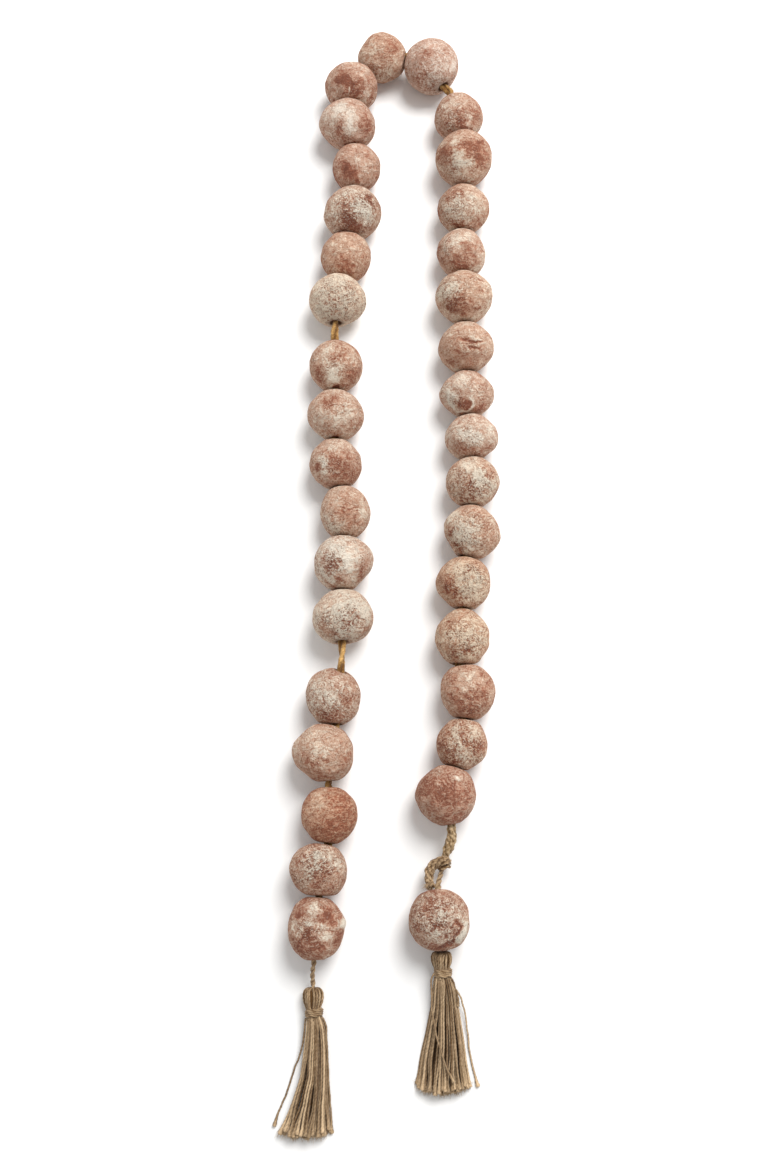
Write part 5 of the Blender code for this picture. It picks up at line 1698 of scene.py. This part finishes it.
class GARLAND_OT_twines(bpy.types.Operator):
    """Lays the two thin twines: from the knot to the right tassel and from the first bead to the left one."""

    bl_idname = "garland.twines"
    bl_label = "Twines"

    def execute(self, context):
        sizes, colours = context.scene.garland_sizes, context.scene.garland_colours
        material = jute("jute_twine", colours.jute_dark, colours.jute_light, fibre_mm=0.35)
        for node, stations, seed in (("tie_twine", TIE_TWINE_ROUTE, 4), ("neck_twine", NECK_TWINE_ROUTE, 9)):
            route, steps = smooth_path(station_rows(stations), spacing=0.45)
            turns = TURN * steps / (sizes.cord_pitch / MM) + seed
            grid, lines, shade = rope(route, steps, turns, 2, sizes, seed, TWINE_OUT, darker=TWINE_DARKER)
            loose = fuzz(lines, steps, sizes, every_mm=0.9, long_mm=1.1, seed=seed + 40)
            make_piece(f"plied_{node}", [(grid, steps, shade), loose], material, node)
        return {"FINISHED"}


class GARLAND_OT_tassels(bpy.types.Operator):
    """Folds and fans out the yarns of both tassels and frays their ends."""

    bl_idname = "garland.tassels"
    bl_label = "Tassels"

    def execute(self, context):
        sizes, colours = context.scene.garland_sizes, context.scene.garland_colours
        material = jute("jute_tassel_yarn", colours.jute_dark, colours.jute_light, fibre_mm=0.3)
        for tassel in TASSELS:
            paths, down, thick, buried, outward = bundle_paths(tassel, sizes)
            grids = [yarn_tubes(paths, down, thick, sizes, tassel.seed, buried, outward, pale=tassel.pale)]
            grids += stray_tubes(tassel, sizes) + head_grids(tassel, sizes)
            grids.append(hem_fibres(paths, sizes, tassel.seed + 90))
            grids.append(fuzz(paths, down, sizes, every_mm=0.5, long_mm=2.0, seed=tassel.seed + 95))
            make_piece(f"jute_tassel_{tassel.name}", grids, material, f"tassel_{tassel.name}")
        return {"FINISHED"}


class GARLAND_OT_wraps(bpy.types.Operator):
    """Winds twine round the neck of each tassel."""

    bl_idname = "garland.wraps"
    bl_label = "Tassel wraps"

    def execute(self, context):
        sizes, colours = context.scene.garland_sizes, context.scene.garland_colours
        material = jute("jute_wrap", colours.jute_dark, colours.jute_light, fibre_mm=0.3)
        for tassel in TASSELS:
            path = wrap_lines(tassel)
            steps = path_steps(path)
            route = np.concatenate([path, np.full((len(path), 1), WRAP_TWINE_MM)], axis=1)
            turns = TURN * steps / (sizes.cord_pitch / MM)
            grid, lines, shade = rope(
                route, steps, turns, 2, sizes, tassel.seed, TWINE_OUT, WRAP_FIRST, darker=TWINE_DARKER
            )
            grid[..., 2] = np.maximum(grid[..., 2], WRAP_LOWEST_MM)
            loose = fuzz(lines, steps, sizes, every_mm=1.2, long_mm=1.0, seed=tassel.seed + 60)
            node = f"wrap_{tassel.name}"
            make_piece(f"wound_{node}", [(grid, steps, shade), loose], material, node)
        return {"FINISHED"}


# The stage, in metres and watts.
FLOOR_M = 8.0
SOFTBOX_M = 1.3
SOFTBOX_PLACE_M = (0.66, 0.98, 1.72)
SOFTBOX_WATTS = 48.0
ROOM_LIGHT = 0.56
CLIP_START_M = 0.01


class GARLAND_OT_stage(bpy.types.Operator):
    """Sets the floor, the lights and the camera."""

    bl_idname = "garland.stage"
    bl_label = "Stage"

    def execute(self, context):
        scene = context.scene
        self.lay_floor(scene)
        self.light_room(scene)
        self.set_camera(scene)
        return {"FINISHED"}

    def lay_floor(self, scene):
        bpy.ops.mesh.primitive_plane_add(size=FLOOR_M)
        floor = bpy.context.object
        floor.name = "pale_floor"
        colour = (*scene.garland_colours.floor, 1.0)
        sockets = {"Base Color": colour, "Roughness": 0.95, "Specular IOR Level": 0.1}
        material, _, _ = new_material("matte_pale_floor", sockets)
        floor.data.materials.append(material)

    def light_room(self, scene):
        """A soft white room, and one round softbox from the upper right that faces the garland."""
        world = bpy.data.worlds.new("soft_room")
        scene.world = world
        world.use_nodes = True
        background = world.node_tree.nodes["Background"]
        background.inputs["Color"].default_value = (1.0, 1.0, 1.0, 1.0)
        background.inputs["Strength"].default_value = ROOM_LIGHT
        lamp = bpy.data.lights.new("softbox", "AREA")
        lamp.shape = "DISK"
        lamp.size = SOFTBOX_M
        lamp.energy = SOFTBOX_WATTS
        light = bpy.data.objects.new("softbox", lamp)
        light.location = SOFTBOX_PLACE_M
        x, y, z = light.location
        light.rotation_euler = (math.atan2(math.hypot(x, y), z), 0.0, math.atan2(x, -y))
        scene.collection.objects.link(light)
        scene.view_settings.view_transform = "Standard"

    def set_camera(self, scene):
        lens = bpy.data.cameras.new("camera")
        lens.sensor_fit = "VERTICAL"
        lens.sensor_height = CAMERA_FRAME
        lens.lens = CAMERA_LENS
        lens.clip_start = CLIP_START_M
        camera = bpy.data.objects.new("camera", lens)
        camera.location = (CAMERA_PLACE - MIDDLE) * MM
        camera.rotation_euler = (math.radians(CAMERA_TILT_DEG), 0.0, 0.0)
        scene.collection.objects.link(camera)
        scene.camera = camera


OPERATORS = (
    GARLAND_OT_stage,
    GARLAND_OT_beads,
    GARLAND_OT_cord,
    GARLAND_OT_knot,
    GARLAND_OT_twines,
    GARLAND_OT_tassels,
    GARLAND_OT_wraps,
)


class GARLAND_PT_panel(bpy.types.Panel):
    bl_idname = "GARLAND_PT_panel"
    bl_label = "Bead garland"
    bl_space_type = "VIEW_3D"
    bl_region_type = "UI"
    bl_category = "Garland"

    def draw(self, context):
        for group in (context.scene.garland_sizes, context.scene.garland_colours):
            box = self.layout.box()
            for key in group.bl_rna.properties.keys():
                if key not in ("rna_type", "name"):
                    box.prop(group, key)
        for operator in OPERATORS:
            self.layout.operator(operator.bl_idname)


CLASSES = (GarlandSizes, GarlandColours, *OPERATORS, GARLAND_PT_panel)


def register():
    for kind in CLASSES:
        bpy.utils.register_class(kind)
    bpy.types.Scene.garland_sizes = bpy.props.PointerProperty(type=GarlandSizes)
    bpy.types.Scene.garland_colours = bpy.props.PointerProperty(type=GarlandColours)


def unregister():
    del bpy.types.Scene.garland_colours
    del bpy.types.Scene.garland_sizes
    for kind in reversed(CLASSES):
        bpy.utils.unregister_class(kind)


def main():
    register()
    for operator in OPERATORS:
        group, name = operator.bl_idname.split(".")
        getattr(getattr(bpy.ops, group), name)()


if __name__ == "__main__":
    main()
